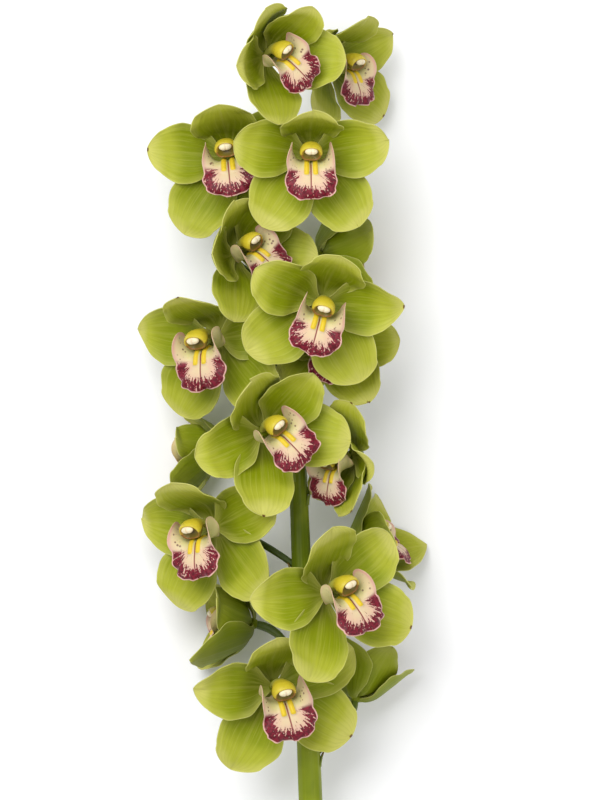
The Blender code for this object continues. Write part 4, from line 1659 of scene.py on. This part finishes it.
@dataclass
class Stem:
    """Scape and rachis with the pedicels, ovaries and bracts."""

    foot_y: float = -222.0
    level_y: float = -188.0
    tip_y: float = 436.0
    height: float = 60.0
    foot_height: float = 7.7
    drop_power: float = 2.2
    axis_x: float = 6.2
    axis_lean: float = 0.0385
    rib_room: float = 0.15
    last_root: float = 12.0
    bloom_back: float = 5.2
    ovary_end: float = -4.4
    leave_aside: float = 0.75
    leave_along: float = 0.65
    leave_reach: float = 0.35
    bract_length: float = 10.0
    bract_below: float = 4.5
    bract_flare: float = 2.2
    bract_gap: float = 0.3
    bract_half_width: float = 3.5
    bract_half_thick: float = 0.35

    def point(self, y: Array) -> Array:
        """Places on the stem's axis, which comes down from the rachis to the cut foot.

        Args:
            y: How far along the stem they are.

        Returns:
            The places.
        """
        y = np.asarray(y, float)
        reach = np.clip((self.tip_y - y) / (self.tip_y - self.level_y), 0.0, 1.0)
        z = self.height - (self.height - self.foot_height) * reach**self.drop_power
        return np.stack([self.axis_x - self.axis_lean * y, y, z], -1)

    def radius(self, y: Array) -> Array:
        """Half the stem's thickness, less towards the tip."""
        places = (self.foot_y, 0.0, 170.0, 300.0, 400.0, self.tip_y)
        return np.interp(y, places, (7.9, 7.3, 5.8, 4.8, 3.2, 2.2))

    def root(self, bloom: Bloom) -> tuple[Array, Array, Array]:
        """The two ends of a pedicel.

        Args:
            bloom: The bloom that it carries.

        Returns:
            Where it leaves the stem, the way out of the stem, and where it ends.
        """
        end = bloom.centre() - bloom.axes()[2] * self.bloom_back * bloom.size
        start = self.point(min(end[1] - bloom.root, self.tip_y - self.last_root))
        aside = unit((end - start) * np.array([1.0, 0.0, 1.0]))
        return start, aside, end

    def pedicel(self, bloom: Bloom) -> tuple[Array, Array]:
        """One pedicel and its ovary, bent from the stem to the back of its bloom.

        Args:
            bloom: The bloom that it carries.

        Returns:
            Places and radii along it.
        """
        start, aside, end = self.root(bloom)
        facing = bloom.axes()[2]
        way = unit(self.leave_aside * aside + self.leave_along * ALONG_STEM)
        leaving = start + way * np.linalg.norm(end - start) * self.leave_reach
        arriving = end - facing * bloom.stalk
        t = np.linspace(0.0, 1.0, 40)[:, None]
        path = (
            start * (1 - t) ** 3 + 3 * leaving * t * (1 - t) ** 2
            + 3 * arriving * t**2 * (1 - t) + end * t**3
        )
        path = np.vstack([path, end + facing * (self.bloom_back + self.ovary_end) * bloom.size])
        places, sizes = (0.0, 0.12, 0.45, 0.82, 0.95, 1.0), (2.5, 1.85, 1.9, 2.6, 2.4, 2.2)
        return path, np.interp(np.linspace(0, 1, len(path)), places, sizes)

    def build(self, skin: StalkSkin, finish: bpy.types.Material) -> bpy.types.Object:
        """Builds the scape and rachis.

        Args:
            skin: The stalk skin.
            finish: The stem's material.

        Returns:
            The piece.
        """
        y = np.linspace(self.foot_y, self.tip_y, 300)
        return skin.dress(
            "rachis", [(self.point(y), self.radius(y) - self.rib_room)],
            Sides=48, Spacing=0.002, Ribs=9.0, Rib_height=0.00012, Unevenness=0.0005, Material=finish,
        )

    def build_pedicels(self, skin: StalkSkin, finish: bpy.types.Material) -> bpy.types.Object:
        """Builds all pedicels with their ovaries.

        Args:
            skin: The stalk skin.
            finish: The pedicels' material.

        Returns:
            The piece.
        """
        return skin.dress(
            "pedicels", [self.pedicel(bloom) for bloom in BLOOMS.values()],
            Sides=24, Spacing=0.0012, Ribs=6.0, Rib_height=0.00016, Unevenness=0.0003, Material=finish,
        )

    def build_bracts(self, finish: bpy.types.Material) -> bpy.types.Object:
        """Builds the small pointed scales at the feet of the pedicels.

        Args:
            finish: The bracts' material.

        Returns:
            The piece.
        """
        draft = Draft()
        u = np.linspace(0.0, 1.0, 15)[:, None]
        v = np.linspace(-1.0, 1.0, 11)
        for bloom in BLOOMS.values():
            start, aside, _ = self.root(bloom)
            across = np.cross(aside, ALONG_STEM)
            radius = float(self.radius(start[1]))
            half = self.bract_half_width * (1.0 - u**1.8) ** 0.7 + 0.05
            spread = half * v / (radius + 1.0)
            out = radius + self.bract_gap + self.bract_flare * u**2
            run = start - ALONG_STEM * self.bract_below + ALONG_STEM * self.bract_length * u
            ring = np.sin(spread)[..., None] * across + np.cos(spread)[..., None] * aside
            points = run[:, None] + out[..., None] * ring
            skin = self.bract_half_thick * ring
            draft.add_shell(points + skin, points - skin, {"along": u, "across": v})
        return draft.build("bracts", finish)


@dataclass(frozen=True)
class Lamp:
    """A soft square light: where it hangs and its width in metres, and its power in watts."""

    place: tuple[float, float, float]
    power: float
    width: float

    def hang(self, name: str, target: tuple[float, float, float]) -> None:
        """Adds it to the scene.

        Args:
            name: Its name.
            target: What it looks at.
        """
        data = bpy.data.lights.new(name, "AREA")
        data.energy = self.power
        data.size = self.width
        lamp = added(name, data)
        lamp.location = self.place
        x, y, z = np.array(target) - np.array(self.place)
        tilt = math.acos(-z / math.hypot(x, y, z))
        lamp.rotation_euler = (tilt, 0.0, math.atan2(y, x) - math.pi / 2)


@dataclass
class Studio:
    """Pale floor, soft light and the camera that looks straight down."""

    distance: float = 8.0
    frame_height: float = 0.48
    level: float = 0.06
    view_middle_y: float = 240.0
    floor_reach: float = 4.0
    floor_level: float = -0.0004
    light_target: tuple[float, float, float] = (0.0, 0.08, 0.06)
    key: Lamp = Lamp(place=(-0.6, 0.8, 1.8), power=35.0, width=1.3)
    fill: Lamp = Lamp(place=(0.9, -0.5, 1.6), power=9.0, width=1.4)
    surroundings: float = 0.6

    def floor(self) -> bpy.types.Object:
        """The plain pale surface that the stem lies on."""
        mesh = bpy.data.meshes.new("floor")
        reach, level = self.floor_reach, self.floor_level
        corners = [(x * reach, y * reach, level) for x, y in ((-1, -1), (1, -1), (1, 1), (-1, 1))]
        mesh.from_pydata(corners, [], [(0, 1, 2, 3)])
        n = Skin("floor_paint")
        tint = n.mix(n.noise(3.0), srgb(246, 246, 247), srgb(243, 243, 245))
        relief = n.bump(n.noise(300.0), 0.0001, 0.1)
        mesh.materials.append(n.finish(tint, 0.9, relief, Specular_IOR_Level=0.1))
        return added("floor", mesh)

    def light(self) -> None:
        """A broad key light, a weaker fill and pale surroundings."""
        self.key.hang("key_light", self.light_target)
        self.fill.hang("fill_light", self.light_target)
        world = bpy.data.worlds.new("pale_room")
        bpy.context.scene.world = world
        world.use_nodes = True
        around = world.node_tree.nodes["Background"].inputs
        around["Color"].default_value = (1.0, 1.0, 1.0, 1.0)
        around["Strength"].default_value = self.surroundings
        bpy.context.scene.view_settings.view_transform = "Standard"

    def camera(self) -> None:
        """The camera over the middle of the view."""
        data = bpy.data.cameras.new("camera")
        data.sensor_fit = "VERTICAL"
        data.sensor_height = 24.0
        data.lens = data.sensor_height * self.distance / self.frame_height
        data.clip_end = 50.0
        camera = added("camera", data)
        x, y, _ = (self.view_middle_y * ALONG_STEM + Draft.shift) * MM
        camera.location = (x, y, self.level + self.distance)
        bpy.context.scene.camera = camera


def shared_shift() -> Array:
    """How far the shared frame lies from the table of blooms, read from one packed column."""
    low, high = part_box("bloom_06_column")
    column = Column()
    u = np.array([0.0, 0.4, 0.82, 1.0])
    centre, upper, _ = column.spine(u)
    turn = np.linspace(0.0, 2 * math.pi, 6, endpoint=False)
    rings = column.packed.rings(centre, upper, u, turn, np.cos(turn))
    corners = BLOOMS["06"].placed(rings).reshape(-1, 3)
    table = (corners.min(axis=0) + corners.max(axis=0)) / 2
    shift = (np.array(low) + np.array(high)) / 2 / MM - table
    shift[2] = 0.0
    return shift


def main() -> None:
    """Builds and places every piece."""
    logging.basicConfig(level=logging.INFO, format="%(message)s")
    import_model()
    Draft.shift = shared_shift()
    LOG.info("shift %s", Draft.shift)
    studio = Studio()
    studio.camera()
    studio.floor()
    studio.light()
    stem, skin = Stem(), StalkSkin()
    green = StalkFinish("rachis_skin", srgb(126, 138, 16), srgb(88, 104, 2), srgb(150, 156, 50)).material()
    deep = StalkFinish("pedicel_skin", srgb(96, 112, 14), srgb(62, 80, 4), srgb(122, 134, 40)).material()
    rachis = stem.build(skin, green)
    for piece in (rachis, stem.build_pedicels(skin, deep), stem.build_bracts(BractFinish().material())):
        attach(piece, "root")
    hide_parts("stem")
    tepals, lip, column = Tepals(), Lip(), Column()
    skins = [finish().material() for finish in (TepalFinish, LipFinish, ColumnFinish, CapFinish)]
    for number, bloom in BLOOMS.items():
        for piece, slot, node in (
            (tepals.build(number, bloom, skins[0]), "tepals", "tepals"),
            (lip.build(number, bloom, skins[1]), "lip", "lip"),
            (column.build(number, bloom, skins[2]), "column", "column"),
            (column.build_cap(number, bloom, skins[3]), "column", None),
        ):
            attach(piece, "root")
            if node:
                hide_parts(f"bloom_{number}_{node}")


if __name__ == "__main__":
    main()
